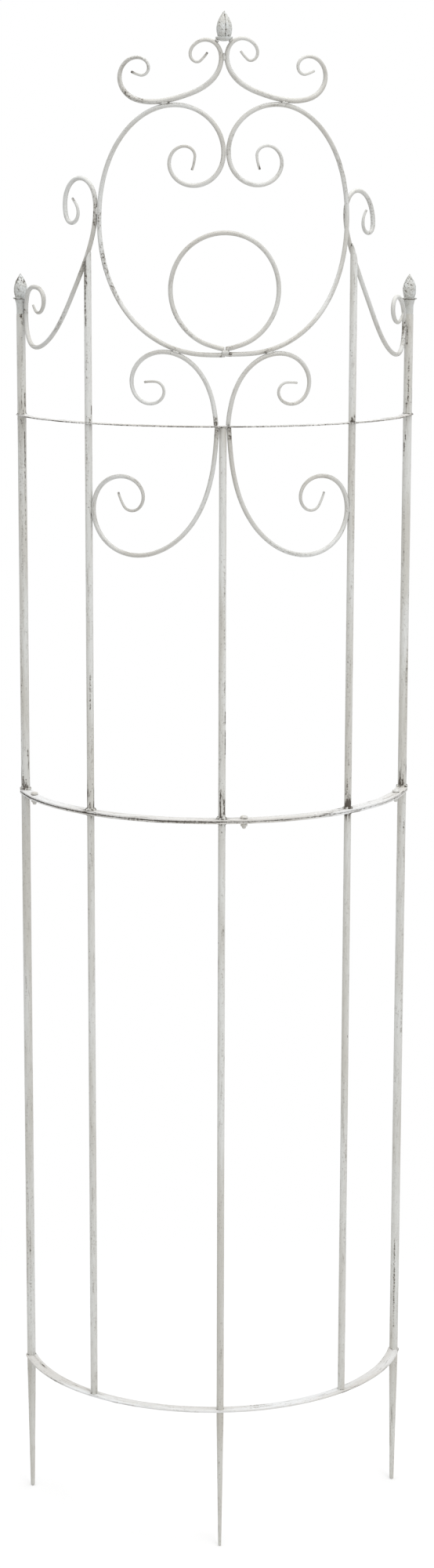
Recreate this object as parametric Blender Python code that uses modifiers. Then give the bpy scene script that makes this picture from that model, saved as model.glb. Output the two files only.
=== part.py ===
"""A half-round garden trellis of welded steel rod, made as two frames that bolt together.

Lengths are in metres, angles in radians, and +Z is up. The spikes stand on z = 0, the bowed front faces -Y,
and the middle of the plan lies on the origin. The rods lie in a sheet rolled on an upright cylinder, so the
scrolls are drawn on the flat sheet first, with s along the arc from the middle and z up, and then rolled.
"""

import math

import bmesh
import bpy
import numpy as np
from mathutils import Matrix, Vector

# Gap left between pieces that are welded or bolted face to face
CLEARANCE = 0.0003

# Plan: five posts on a cylinder
PANEL_RADIUS = 0.240
INNER_POST_ANGLE = math.radians(40.0)
OUTER_POST_ANGLE = math.radians(77.0)
HOOP_END_MARGIN = 0.0005

# Rods and flat bars
OUTER_POST_RADIUS = 0.005
INNER_POST_RADIUS = 0.004
CENTRE_POST_RADIUS = 0.004
SCROLL_RADIUS = 0.00265
TOP_SCROLL_RADIUS = 0.0030
SCROLL_TIP_RADIUS = 0.00135
SCROLL_TAPER_LENGTH = 0.110
SIDE_SCROLL_TAPER_LENGTH = 0.045
HOOP_WIDTH = 0.014
HOOP_THICKNESS = 0.0023
TOP_HOOP_THICKNESS = 0.0012
FOOT_WELD_WIDTH = 0.0012
FOOT_WELD_HEIGHT = 0.0040

# Heights
SPIKE_LENGTH = 0.178
SPIKE_SHOULDER = 0.012
LOWER_POST_LENGTH = 0.736
UPPER_POST_LENGTH = 0.460
OUTER_POST_TOP_LENGTH = 0.1305
OUTER_SPIKE_TIP_RADIUS = 0.0021
CENTRE_SPIKE_TIP_RADIUS = 0.0015

# Hollow of a foot weld's side, and the blunting of a spike's tip, as shares of their own widths and heights
FOOT_WELD_REACH = 0.35
FOOT_WELD_LEVEL = 0.4
SPIKE_BLUNTING = 0.3

# Scrolls: radius of the bend at the start and after each turn, the turns in degrees, and a straight tail
LOWER_SCROLL_HEADING = math.radians(-87.0)
LOWER_SCROLL_RADII = (1.611, 0.054, 0.038, 0.0392, 0.0184, 0.0121, 0.0123)
LOWER_SCROLL_TURNS = (130, 76, 54, 105, 92, 56)
LOWER_SCROLL_TAIL = 0.0145

UPPER_SCROLL_HEADING = math.radians(85.6)
UPPER_SCROLL_RADII = (0.2960, 0.0511, 0.0364, 0.0205, 0.0110, 0.0117)
UPPER_SCROLL_TURNS = (61, 73, 135, 108, 73)
UPPER_SCROLL_TAIL = 0.0114

# The upper scrolls were bent by hand: one came out a little large and its twin a little small
UPPER_SCROLL_SIZE = {"left": 1.010, "right": 0.990}

ARCH_BEND_AT_WELD = 0.0491
ARCH_RADII = (0.0585, 0.1145, 0.1874, 0.1303, 0.1196)
ARCH_TURNS = (81, 54, 45, 57, 33)
ARCH_CURL_RADII = (0.0350, 0.0319, 0.0173, 0.0095)
ARCH_CURL_TURNS = (23, 81, 142, 128)
ARCH_CURL_TAIL = 0.0136
ARCH_INSET = 0.0145

RING_RADII = (0.0615, 0.0675, 0.0600)
RING_TURNS = (133, 33)

TOP_BEND_AT_WELD = 0.0287
TOP_HOOK_RADII = (0.0159, 0.0201, 0.0098, 0.0075, 0.0040)
TOP_HOOK_TURNS = (54, 79, 60, 67, 59)
TOP_HOOK_TAIL = 0.0118
TOP_CURL_RADII = (0.0471, 0.2341, 0.0751, 0.0216, 0.0218, 0.0087, 0.0082)
TOP_CURL_TURNS = (49, 23, 23, 72, 103, 101, 100)
TOP_CURL_TAIL = 0.0105

# The two side scrolls were bent by eye and differ a little: bend at the weld, then the curl and the stem
SIDE_BEND_AT_WELD = {"left": 0.0959, "right": 0.0630}
SIDE_CURL_RADII = {
    "left": (0.0184, 0.0248, 0.0488, 0.0085, 0.0257),
    "right": (0.0166, 0.0287, 0.0597, 0.0081, 0.0281),
}
SIDE_CURL_TURNS = {"left": (72, 52, 65, 63, 153), "right": (69, 47, 57, 60, 161)}
SIDE_CURL_TAIL = {"left": 0.0051, "right": 0.0044}
SIDE_STEM_RADII = {
    "left": (0.2455, 1.2642, 0.0587, 0.0288, 0.0791, 0.0123, 0.0202),
    "right": (0.3220, 1.6662, 0.0558, 0.0277, 0.0685, 0.0125, 0.0388),
}
SIDE_STEM_TURNS = {"left": (24, 6, 55, 121, 70, 53, 161), "right": (24, 8, 48, 105, 68, 54, 172)}
SIDE_STEM_TAIL = {"left": 0.0062, "right": 0.0127}
SIDE_SCROLL_DROP = {"left": 0.0160, "right": 0.0225}

# How far a side scroll lies inside the cylinder, at the arch and at the outer post
DRAWN_IN_AT_ARCH = {"left": 0.0, "right": 0.005}
DRAWN_IN_AT_POST = 0.005

# How far right of the middle the rods were welded
UPPER_SCROLL_SHIFT = -0.0010
ARCH_SHIFT = 0.0026
RING_SHIFT = 0.0020

# Cast buds and what carries them
TOP_BUD_HEIGHT = 0.0280
TOP_BUD_BELLY_RADIUS = 0.0100
TOP_BUD_BASE_RADIUS = 0.0080
TOP_BUD_BELLY_SHARE = 0.29
TOP_CUP_RIM_RADIUS = 0.0100
TOP_CUP_FOOT_RADIUS = 0.0030
TOP_CUP_HEIGHT = 0.0050
SIDE_BUD_HEIGHT = 0.0280
SIDE_BUD_BELLY_RADIUS = 0.0088
SIDE_BUD_BASE_RADIUS = 0.0068
SIDE_BUD_BELLY_SHARE = 0.38
BUD_PETALS = 4
BUD_CREASE_DEPTH = 0.16
BUD_CREASE_SHARPNESS = 6
BUD_CREASE_AT_BASE = 0.15
BUD_TIP_RADIUS = 0.0006
COLLAR_RADIUS = 0.0092
COLLAR_THICKNESS = 0.0016
COLLAR_CUP_RADIUS = 0.0074
COLLAR_CUP_HEIGHT = 0.0062

# Where a cup's side bends, as shares of its own width and height
TOP_CUP_LIP_LEVEL = 0.75
TOP_CUP_BEND_REACH = 0.6
TOP_CUP_BEND_LEVEL = 0.3
COLLAR_CUP_BEND_REACH = 0.5
COLLAR_CUP_BEND_LEVEL = 0.35

# Bolts through the two joint hoops
BOLT_RADIUS = 0.0025
BOLT_HEAD_RADIUS = 0.0044
BOLT_HEAD_HEIGHT = 0.0032
BOLT_HEAD_EDGE_SHARE = 0.45
BOLT_END_LENGTH = 0.0030
BOLT_END_CHAMFER = 0.00075
NUT_ACROSS_FLATS = 0.0080
NUT_HEIGHT = 0.0040
SIDE_BOLT_ANGLE = math.radians(68.0)
MIDDLE_BOLT_ANGLE = math.radians(6.3)

# Fineness
TURNED_STEPS = 16
BAR_STEPS = 12
BUD_STEPS = 20
BUD_RINGS = 12
DOME_STEPS = 3
HOOP_STEPS = 36
HOLE_STEPS = 12
MOST_BEND_STEP = math.radians(15.0)
LONGEST_BEND_STEP = 0.020
SEARCH_STEP = 0.004

INNER_POST_S = PANEL_RADIUS * INNER_POST_ANGLE
OUTER_POST_S = PANEL_RADIUS * OUTER_POST_ANGLE
HOOP_END_ANGLE = OUTER_POST_ANGLE + (OUTER_POST_RADIUS + HOOP_END_MARGIN) / PANEL_RADIUS
SIDES = {"left": -1, "right": 1}

# Heights of the flat bars, each from the one below
BOTTOM_HOOP_Z = SPIKE_LENGTH + CLEARANCE
LOWER_FEET_Z = BOTTOM_HOOP_Z + HOOP_THICKNESS + CLEARANCE
LOWER_JOINT_Z = LOWER_FEET_Z + LOWER_POST_LENGTH + CLEARANCE
UPPER_JOINT_Z = LOWER_JOINT_Z + HOOP_THICKNESS + CLEARANCE
UPPER_FEET_Z = UPPER_JOINT_Z + HOOP_THICKNESS + CLEARANCE
TOP_HOOP_Z = UPPER_FEET_Z + UPPER_POST_LENGTH + CLEARANCE
ABOVE_TOP_HOOP_Z = TOP_HOOP_Z + TOP_HOOP_THICKNESS + CLEARANCE
COLLAR_FOOT_Z = ABOVE_TOP_HOOP_Z + OUTER_POST_TOP_LENGTH + CLEARANCE

# Least spacing of two scroll rods, and of a scroll rod and a post, from axis to axis
ROD_TO_ROD = 2 * SCROLL_RADIUS + CLEARANCE
ROD_TO_TOP_ROD = SCROLL_RADIUS + CLEARANCE + TOP_SCROLL_RADIUS
TOP_ROD_TO_TOP_ROD = 2 * TOP_SCROLL_RADIUS + CLEARANCE
ROD_TO_INNER_POST = SCROLL_RADIUS + CLEARANCE + INNER_POST_RADIUS
ROD_TO_OUTER_POST = SCROLL_RADIUS + CLEARANCE + OUTER_POST_RADIUS
ROD_TO_CENTRE_POST = SCROLL_RADIUS + CLEARANCE + CENTRE_POST_RADIUS


def plan_centre():
    """Distance from the middle of the plan back to the axis of the cylinder."""
    front = PANEL_RADIUS + max(HOOP_WIDTH / 2, TOP_CUP_RIM_RADIUS)
    hoop_back = (PANEL_RADIUS - HOOP_WIDTH / 2) * math.cos(HOOP_END_ANGLE)
    collar_back = PANEL_RADIUS * math.cos(OUTER_POST_ANGLE) - COLLAR_RADIUS
    return (front + min(hoop_back, collar_back)) / 2


AXIS_Y = plan_centre()


def side_reach():
    """How far along the sheet a side scroll goes, so that its drawn-in end lies against the outer post."""
    radius = PANEL_RADIUS - DRAWN_IN_AT_POST
    squares = radius**2 + PANEL_RADIUS**2 - ROD_TO_OUTER_POST**2
    return OUTER_POST_S - PANEL_RADIUS * math.acos(squares / (2 * radius * PANEL_RADIUS))


SIDE_REACH = side_reach()


def drawn_in_radius(side_name):
    """Plan radius of a side scroll, drawn in from the cylinder on its way to the outer post."""
    near = DRAWN_IN_AT_ARCH[side_name]

    def plan(s):
        share = (abs(s) - INNER_POST_S) / (SIDE_REACH - INNER_POST_S)
        return PANEL_RADIUS - near - (DRAWN_IN_AT_POST - near) * min(1.0, max(0.0, share)) ** 2

    return plan


def on_panel(s, z, radius=PANEL_RADIUS):
    """A point of the flat sheet, rolled on the cylinder."""
    angle = s / PANEL_RADIUS
    return Vector((radius * math.sin(angle), AXIS_Y - radius * math.cos(angle), z))


def clear_scene():
    for obj in list(bpy.data.objects):
        bpy.data.objects.remove(obj, do_unlink=True)


def new_collection(name):
    collection = bpy.data.collections.new(name)
    bpy.context.scene.collection.children.link(collection)
    return collection


def paint(name, colour, roughness, metallic=0.0):
    """A plain painted finish, made once for each name."""
    if name in bpy.data.materials:
        return bpy.data.materials[name]
    material = bpy.data.materials.new(name)
    material.use_nodes = True
    shader = material.node_tree.nodes["Principled BSDF"]
    shader.inputs["Base Color"].default_value = (*colour, 1.0)
    shader.inputs["Roughness"].default_value = roughness
    shader.inputs["Metallic"].default_value = metallic
    return material


def post_paint():
    return paint("post_antique_white", (0.57, 0.56, 0.52), 0.62)


def scroll_paint():
    return paint("scroll_antique_white", (0.60, 0.59, 0.56), 0.60)


def hoop_paint():
    return paint("hoop_antique_white", (0.66, 0.65, 0.62), 0.58)


def spike_paint():
    return paint("spike_antique_white", (0.52, 0.51, 0.48), 0.66)


def bud_paint():
    return paint("bud_grey_white", (0.52, 0.54, 0.53), 0.70)


def bolt_paint():
    return paint("bolt_painted_steel", (0.50, 0.49, 0.45), 0.50, 0.3)


def add_object(name, data, material):
    obj = bpy.data.objects.new(name, data)
    data.materials.append(material)
    trellis.objects.link(obj)
    return obj


def smooth(mesh):
    mesh.shade_smooth()
    mesh.set_sharp_from_angle(angle=math.radians(35.0))


def turned(name, profile, place, material, steps=TURNED_STEPS):
    """A turned solid. The profile is (radius, height) pairs from the top of the axis to its foot."""
    mesh = bpy.data.meshes.new(name)
    shape = bmesh.new()
    points = [shape.verts.new((radius, 0.0, height)) for radius, height in profile]
    for upper, lower in zip(points, points[1:]):
        shape.edges.new((upper, lower))
    shape.to_mesh(mesh)
    shape.free()
    obj = add_object(name, mesh, material)
    obj.location = place
    screw = obj.modifiers.new("turn", "SCREW")
    screw.axis = "Z"
    screw.angle = math.tau
    screw.steps = steps
    screw.render_steps = steps
    screw.use_merge_vertices = True
    screw.merge_threshold = 0.00001
    screw.use_smooth_shade = True
    return obj


def post_profile(radius, length, foot_weld):
    """A straight bar with the flare of its weld round the foot."""
    profile = [(0.0, length), (radius, length)]
    if foot_weld:
        profile.append((radius, FOOT_WELD_HEIGHT))
        profile.append((radius + FOOT_WELD_REACH * FOOT_WELD_WIDTH, FOOT_WELD_LEVEL * FOOT_WELD_HEIGHT))
        profile.append((radius + FOOT_WELD_WIDTH, 0.0))
    else:
        profile.append((radius, 0.0))
    profile.append((0.0, 0.0))
    return profile


def post(name, s, foot_z, length, radius, foot_weld=True):
    profile = post_profile(radius, length, foot_weld)
    return turned(name, profile, on_panel(s, foot_z), post_paint(), BAR_STEPS)


def spike(name, s, radius, tip_radius):
    """A bar forged down to a blunt point, which stands on z = 0."""
    blunt = SPIKE_BLUNTING * tip_radius
    profile = [
        (0.0, SPIKE_LENGTH),
        (radius, SPIKE_LENGTH),
        (radius, SPIKE_LENGTH - SPIKE_SHOULDER),
        (tip_radius + blunt, 2 * blunt),
        (tip_radius, 0.0),
        (0.0, 0.0),
    ]
    return turned(name, profile, on_panel(s, 0.0), spike_paint(), BAR_STEPS)


def arc_points(radius, start, end, steps):
    angles = [start + (end - start) * i / steps for i in range(steps + 1)]
    return [(radius * math.sin(a), AXIS_Y - radius * math.cos(a)) for a in angles]


def circle_points(centre, radius, steps):
    angles = [math.tau * i / steps for i in range(steps)]
    return [(centre[0] + radius * math.cos(a), centre[1] + radius * math.sin(a)) for a in angles]


def flat_plate(name, outlines, foot_z, thickness, material):
    """A flat outline with its holes, cut from plate."""
    curve = bpy.data.curves.new(name, "CURVE")
    curve.dimensions = "2D"
    curve.fill_mode = "BOTH"
    curve.extrude = thickness / 2
    for outline in outlines:
        spline = curve.splines.new("POLY")
        spline.points.add(len(outline) - 1)
        for point, (x, y) in zip(spline.points, outline):
            point.co = (x, y, 0.0, 1.0)
        spline.use_cyclic_u = True
    obj = add_object(name, curve, material)
    obj.location = (0.0, 0.0, foot_z + thickness / 2)
    return obj


def hoop(name, foot_z, thickness, hole_angles=()):
    """A flat bar rolled the flat way to the plan of the trellis."""
    outer = arc_points(PANEL_RADIUS + HOOP_WIDTH / 2, -HOOP_END_ANGLE, HOOP_END_ANGLE, HOOP_STEPS)
    inner = arc_points(PANEL_RADIUS - HOOP_WIDTH / 2, HOOP_END_ANGLE, -HOOP_END_ANGLE, HOOP_STEPS)
    outlines = [outer + inner]
    for angle in hole_angles:
        centre = on_panel(PANEL_RADIUS * angle, 0.0)
        outlines.append(circle_points(centre, BOLT_RADIUS + CLEARANCE, HOLE_STEPS))
    return flat_plate(name, outlines, foot_z, thickness, hoop_paint())


def bent_path(start, heading, hand, radii, turns, tail):
    """The middle line of a bent rod. The bend eases from each radius to the next through each turn.

    Hand is 1 for a bend to the left of travel and -1 for one to the right.
    """
    points = [np.array(start, float)]
    for first, last, turn in zip(radii, radii[1:], turns):
        angle = math.radians(turn)
        tight, loose = 1 / first, 1 / last
        length = 2 * angle / (tight + loose)
        steps = max(2, math.ceil(angle / MOST_BEND_STEP), math.ceil(length / LONGEST_BEND_STEP))
        fine = 8 * steps
        here = points[-1].copy()
        for i in range(fine):
            along = (i + 0.5) * length / fine
            swept = along * (tight + (loose - tight) * along / (2 * length))
            facing = heading + hand * swept
            here = here + length / fine * np.array((math.cos(facing), math.sin(facing)))
            if (i + 1) % 8 == 0:
                points.append(here.copy())
        heading += hand * angle
    if tail > 0:
        points.append(points[-1] + tail * np.array((math.cos(heading), math.sin(heading))))
    return np.array(points)


def point_spacing(points, path):
    """Least distance from any of some points to a path."""
    start = path[:-1]
    run = path[1:] - start
    offset = points[:, None, :] - start[None, :, :]
    along = np.clip((offset * run).sum(2) / (run * run).sum(1), 0.0, 1.0)
    return np.linalg.norm(offset - along[:, :, None] * run, axis=2).min()


def spacing(path, other):
    return min(point_spacing(path, other), point_spacing(other, path))


def moved_until_near(path, support, direction, wanted):
    """Moves a path along a direction until it lies the wanted distance from its support."""
    step = np.array(direction, float)
    travel = 0.0
    while spacing(path + travel * step, support) > wanted:
        travel += SEARCH_STEP
    clear, touching = travel - SEARCH_STEP, travel
    for _ in range(30):
        middle = (clear + touching) / 2
        if spacing(path + middle * step, support) > wanted:
            clear = middle
        else:
            touching = middle
    return path + clear * step


def lowered_onto(path, support, wanted):
    lift = support[:, 1].max() - path[:, 1].min() + 2 * wanted
    return moved_until_near(path + (0.0, lift), support, (0.0, -1.0), wanted)


def slid_onto(path, support, wanted):
    shift = support[:, 0].max() - path[:, 0].min() + 2 * wanted
    return moved_until_near(path + (shift, 0.0), support, (-1.0, 0.0), wanted)


def scaled(path, factor):
    """The same bends in a larger or smaller size, about the first point."""
    return path[0] + factor * (path - path[0])


def lower_scroll_path():
    """Starts under the top hoop beside the centre post and curls out to the inner post."""
    drop = CLEARANCE + SCROLL_RADIUS * math.cos(LOWER_SCROLL_HEADING)
    start = (ROD_TO_CENTRE_POST, TOP_HOOP_Z - drop)
    shape = (LOWER_SCROLL_RADII, LOWER_SCROLL_TURNS, LOWER_SCROLL_TAIL)
    path = bent_path(start, LOWER_SCROLL_HEADING, 1, *shape)
    reach = INNER_POST_S - ROD_TO_INNER_POST - start[0]
    return scaled(path, reach / (path[:, 0].max() - start[0]))


def upper_scroll_path(side_name):
    """Stands on the top hoop above the centre post and curls out below the arch."""
    lift = SCROLL_RADIUS * math.cos(UPPER_SCROLL_HEADING)
    start = (ROD_TO_CENTRE_POST + SIDES[side_name] * UPPER_SCROLL_SHIFT, ABOVE_TOP_HOOP_Z + lift)
    shape = (UPPER_SCROLL_RADII, UPPER_SCROLL_TURNS, UPPER_SCROLL_TAIL)
    return scaled(bent_path(start, UPPER_SCROLL_HEADING, -1, *shape), UPPER_SCROLL_SIZE[side_name])


def two_way_path(start, weld_radius, up, down):
    """A scroll that leaves its weld upwards and downwards, both ways bending away from the middle.

    Up and down are (radii, turns, tail). The path runs from the upper end to the lower one.
    """
    upper = bent_path(start, math.pi / 2, -1, (weld_radius, *up[0]), up[1], up[2])
    lower = bent_path(start, -math.pi / 2, 1, (weld_radius, *down[0]), down[1], down[2])
    return np.concatenate([upper[::-1], lower[1:]])


def arch_path(support, shift):
    """Curls in at the top, touches its twin, and sweeps round to the middle on top of the scrolls below."""
    start = np.array((ROD_TO_ROD / 2, 0.0))
    outward = bent_path(start, math.pi / 2, -1, (ARCH_BEND_AT_WELD, *ARCH_RADII), ARCH_TURNS, 0.0)
    inward = bent_path(
        start, -math.pi / 2, 1, (ARCH_BEND_AT_WELD, *ARCH_CURL_RADII), ARCH_CURL_TURNS, ARCH_CURL_TAIL
    )
    factor = (INNER_POST_S - ARCH_INSET - start[0]) / (outward[:, 0].max() - start[0])
    outward = scaled(outward, factor)
    inward = scaled(inward, factor)
    bottom_end = np.array([(CLEARANCE / 2, outward[-1, 1])])
    path = np.concatenate([inward[::-1], outward[1:], bottom_end]) + (shift, 0.0)
    return lowered_onto(path, support, ROD_TO_ROD)


def ring_half_path():
    """Half of the centre ring, from its top to its end at the middle."""
    bend = bent_path((0.0, 0.0), 0.0, -1, RING_RADII, RING_TURNS, 0.0)
    slope = math.radians(sum(RING_TURNS)) - math.pi
    end_s = CLEARANCE / 2 - SCROLL_RADIUS * math.sin(slope)
    run = bend[-1, 0] - end_s
    end = np.array([(end_s, bend[-1, 1] + run * math.tan(slope))])
    return np.concatenate([bend, end])


def ring_path(arches):
    """The centre ring, whose two ends stand on the arches' ends."""
    half = ring_half_path()
    lift = -math.inf
    for side_name, side in SIDES.items():
        arch = arches[side_name]
        lower_part = arch[arch[:, 0].argmax() :]
        placed = lowered_onto(half + (side * RING_SHIFT, 0.0), lower_part, ROD_TO_ROD)
        lift = max(lift, placed[0, 1] - half[0, 1])
    mirrored = half[:0:-1] * (-1.0, 1.0)
    return np.concatenate([mirrored, half]) + (RING_SHIFT, lift)


def top_scroll_path(support):
    path = two_way_path(
        (TOP_ROD_TO_TOP_ROD / 2, 0.0),
        TOP_BEND_AT_WELD,
        (TOP_HOOK_RADII, TOP_HOOK_TURNS, TOP_HOOK_TAIL),
        (TOP_CURL_RADII, TOP_CURL_TURNS, TOP_CURL_TAIL),
    )
    return lowered_onto(path, support, ROD_TO_TOP_ROD)


def side_scroll_path(arch, side_name):
    """Touches the outer post below its collar and the arch above the inner post, scaled to do both."""
    drawn = two_way_path(
        (0.0, 0.0),
        SIDE_BEND_AT_WELD[side_name],
        (SIDE_CURL_RADII[side_name], SIDE_CURL_TURNS[side_name], SIDE_CURL_TAIL[side_name]),
        (SIDE_STEM_RADII[side_name], SIDE_STEM_TURNS[side_name], SIDE_STEM_TAIL[side_name]),
    )
    touch_z = COLLAR_FOOT_Z - SIDE_SCROLL_DROP[side_name]
    drawn -= (0.0, drawn[drawn[:, 0].argmax(), 1])
    beside_arch = math.sqrt(ROD_TO_ROD**2 - DRAWN_IN_AT_ARCH[side_name] ** 2)

    def placed(factor):
        return slid_onto(factor * drawn + (0.0, touch_z), arch, beside_arch)

    small, large = 0.5, 2.0
    for _ in range(24):
        factor = (small + large) / 2
        if placed(factor)[:, 0].max() > SIDE_REACH:
            large = factor
        else:
            small = factor
    return placed(small)


def tip_taper(path, radius, ends, length):
    """Share of the full rod radius at each point, drawn down evenly towards the forged tips."""
    along = np.concatenate([[0.0], np.cumsum(np.linalg.norm(np.diff(path, axis=0), axis=1))])
    share = np.ones(len(path))
    least = SCROLL_TIP_RADIUS / radius
    for end in ends:
        from_tip = along if end == "first" else along[-1] - along
        share = np.minimum(share, least + (1 - least) * from_tip / length)
    return share


def rolled(s):
    """Plan radius of a rod that keeps to the cylinder."""
    return PANEL_RADIUS


def rod(name, path, side, radius=SCROLL_RADIUS, tapered_ends=(), taper=SCROLL_TAPER_LENGTH, plan=rolled):
    """A round rod bent along a path of the sheet. Plan gives its plan radius at each s."""
    curve = bpy.data.curves.new(name, "CURVE")
    curve.dimensions = "3D"
    curve.bevel_depth = radius
    curve.bevel_resolution = 2
    curve.use_fill_caps = True
    spline = curve.splines.new("POLY")
    spline.points.add(len(path) - 1)
    for point, (s, z), share in zip(spline.points, path, tip_taper(path, radius, tapered_ends, taper)):
        point.co = (*on_panel(side * s, z, plan(s)), 1.0)
        point.radius = share
    spline.use_smooth = True
    return add_object(name, curve, scroll_paint())


def crossing(path, s):
    """Where the path last crosses a place along the sheet, with its direction there."""
    for start, end in zip(path[::-1][1:], path[::-1]):
        if min(start[0], end[0]) <= s < max(start[0], end[0]):
            share = (s - start[0]) / (end[0] - start[0])
            along = (end - start) / np.linalg.norm(end - start)
            return start + share * (end - start), along
    raise ValueError("the side scroll doesn't pass over the inner post")


def inner_post_top(side_name, scroll):
    """The inner post above the top hoop, cut on the slant so that the side scroll lies along its end."""
    side = SIDES[side_name]
    point, along = crossing(scroll, INNER_POST_S)
    length = point[1] + 2 * INNER_POST_RADIUS - ABOVE_TOP_HOOP_Z
    shape = bmesh.new()
    bmesh.ops.create_cone(
        shape,
        cap_ends=True,
        segments=BAR_STEPS,
        radius1=INNER_POST_RADIUS,
        radius2=INNER_POST_RADIUS,
        depth=length,
        matrix=Matrix.Translation(on_panel(side * INNER_POST_S, ABOVE_TOP_HOOP_Z + length / 2)),
    )
    across = np.array((-along[1], along[0]))
    contact = point - (SCROLL_RADIUS + CLEARANCE) * across
    sideways = Vector((math.cos(INNER_POST_ANGLE), side * math.sin(INNER_POST_ANGLE), 0.0))
    normal = side * across[0] * sideways + Vector((0.0, 0.0, across[1]))
    everything = shape.verts[:] + shape.edges[:] + shape.faces[:]
    bmesh.ops.bisect_plane(
        shape,
        geom=everything,
        plane_co=on_panel(side * contact[0], contact[1]),
        plane_no=normal,
        clear_outer=True,
    )
    rim = [edge for edge in shape.edges if edge.is_boundary]
    bmesh.ops.edgenet_fill(shape, edges=rim)
    bmesh.ops.recalc_face_normals(shape, faces=shape.faces[:])
    mesh = bpy.data.meshes.new(f"inner_post_top_{side_name}")
    shape.to_mesh(mesh)
    shape.free()
    smooth(mesh)
    return add_object(mesh.name, mesh, post_paint())


def bud_radius(share, belly_radius, base_radius, belly_share):
    """Radius of a bud at a share of its height, swelling from the base and closing to the tip."""
    if share < belly_share:
        return base_radius + (belly_radius - base_radius) * math.sin(math.pi / 2 * share / belly_share)
    closing = (share - belly_share) / (1 - belly_share)
    return max(BUD_TIP_RADIUS, belly_radius * math.cos(math.pi / 2 * closing))


def bud(name, place, height, belly_radius, base_radius, belly_share):
    """A closed flower bud: a ball drawn out to the bud's profile, with a crease between its petals."""
    shape = bmesh.new()
    bmesh.ops.create_uvsphere(shape, u_segments=BUD_STEPS, v_segments=BUD_RINGS, radius=1.0)
    for vert in shape.verts:
        level = round(math.acos(max(-1.0, min(1.0, vert.co.z))) / math.pi * BUD_RINGS)
        if level == BUD_RINGS:
            vert.co = (0.0, 0.0, 0.0)
            continue
        share = (BUD_RINGS - 1 - level) / (BUD_RINGS - 1)
        angle = math.atan2(vert.co.y, vert.co.x)
        crease = abs(math.cos(BUD_PETALS / 2 * angle)) ** BUD_CREASE_SHARPNESS
        radius = bud_radius(share, belly_radius, base_radius, belly_share) if level else 0.0
        radius *= 1 - BUD_CREASE_DEPTH * crease * math.sin(math.pi * min(1.0, BUD_CREASE_AT_BASE + share))
        vert.co = (radius * math.cos(angle), radius * math.sin(angle), share * height)
    mesh = bpy.data.meshes.new(name)
    shape.to_mesh(mesh)
    shape.free()
    mesh.shade_smooth()
    obj = add_object(name, mesh, bud_paint())
    obj.location = place
    return obj


def top_cup_profile():
    """A shallow bowl, from the top of its axis to its foot."""
    rim, foot, height = TOP_CUP_RIM_RADIUS, TOP_CUP_FOOT_RADIUS, TOP_CUP_HEIGHT
    return [
        (0.0, height),
        (rim, height),
        (rim, TOP_CUP_LIP_LEVEL * height),
        (foot + TOP_CUP_BEND_REACH * (rim - foot), TOP_CUP_BEND_LEVEL * height),
        (foot, 0.0),
        (0.0, 0.0),
    ]


def top_bud(scrolls):
    """The middle bud on its cup, which nests between the shoulders of the two top scrolls."""
    outline = np.array(top_cup_profile())[1:]
    spacing_wanted = TOP_SCROLL_RADIUS + CLEARANCE
    foot_z = max(lowered_onto(outline, scroll, spacing_wanted)[-1, 1] for scroll in scrolls.values())
    turned("top_cup", top_cup_profile(), on_panel(0.0, foot_z), bud_paint())
    bud_z = foot_z + TOP_CUP_HEIGHT + CLEARANCE
    bud(
        "bud_top",
        on_panel(0.0, bud_z),
        TOP_BUD_HEIGHT,
        TOP_BUD_BELLY_RADIUS,
        TOP_BUD_BASE_RADIUS,
        TOP_BUD_BELLY_SHARE,
    )


def side_bud(side_name):
    """An outer post's bud, on a thin collar with a cup below it that meets the post."""
    s = SIDES[side_name] * OUTER_POST_S
    bend_radius = OUTER_POST_RADIUS + COLLAR_CUP_BEND_REACH * (COLLAR_CUP_RADIUS - OUTER_POST_RADIUS)
    profile = [
        (0.0, COLLAR_CUP_HEIGHT + COLLAR_THICKNESS),
        (COLLAR_RADIUS, COLLAR_CUP_HEIGHT + COLLAR_THICKNESS),
        (COLLAR_RADIUS, COLLAR_CUP_HEIGHT),
        (COLLAR_CUP_RADIUS, COLLAR_CUP_HEIGHT),
        (bend_radius, COLLAR_CUP_BEND_LEVEL * COLLAR_CUP_HEIGHT),
        (OUTER_POST_RADIUS, 0.0),
        (0.0, 0.0),
    ]
    turned(f"collar_{side_name}", profile, on_panel(s, COLLAR_FOOT_Z), bud_paint())
    bud_z = COLLAR_FOOT_Z + COLLAR_CUP_HEIGHT + COLLAR_THICKNESS + CLEARANCE
    bud(
        f"bud_{side_name}",
        on_panel(s, bud_z),
        SIDE_BUD_HEIGHT,
        SIDE_BUD_BELLY_RADIUS,
        SIDE_BUD_BASE_RADIUS,
        SIDE_BUD_BELLY_SHARE,
    )


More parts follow.
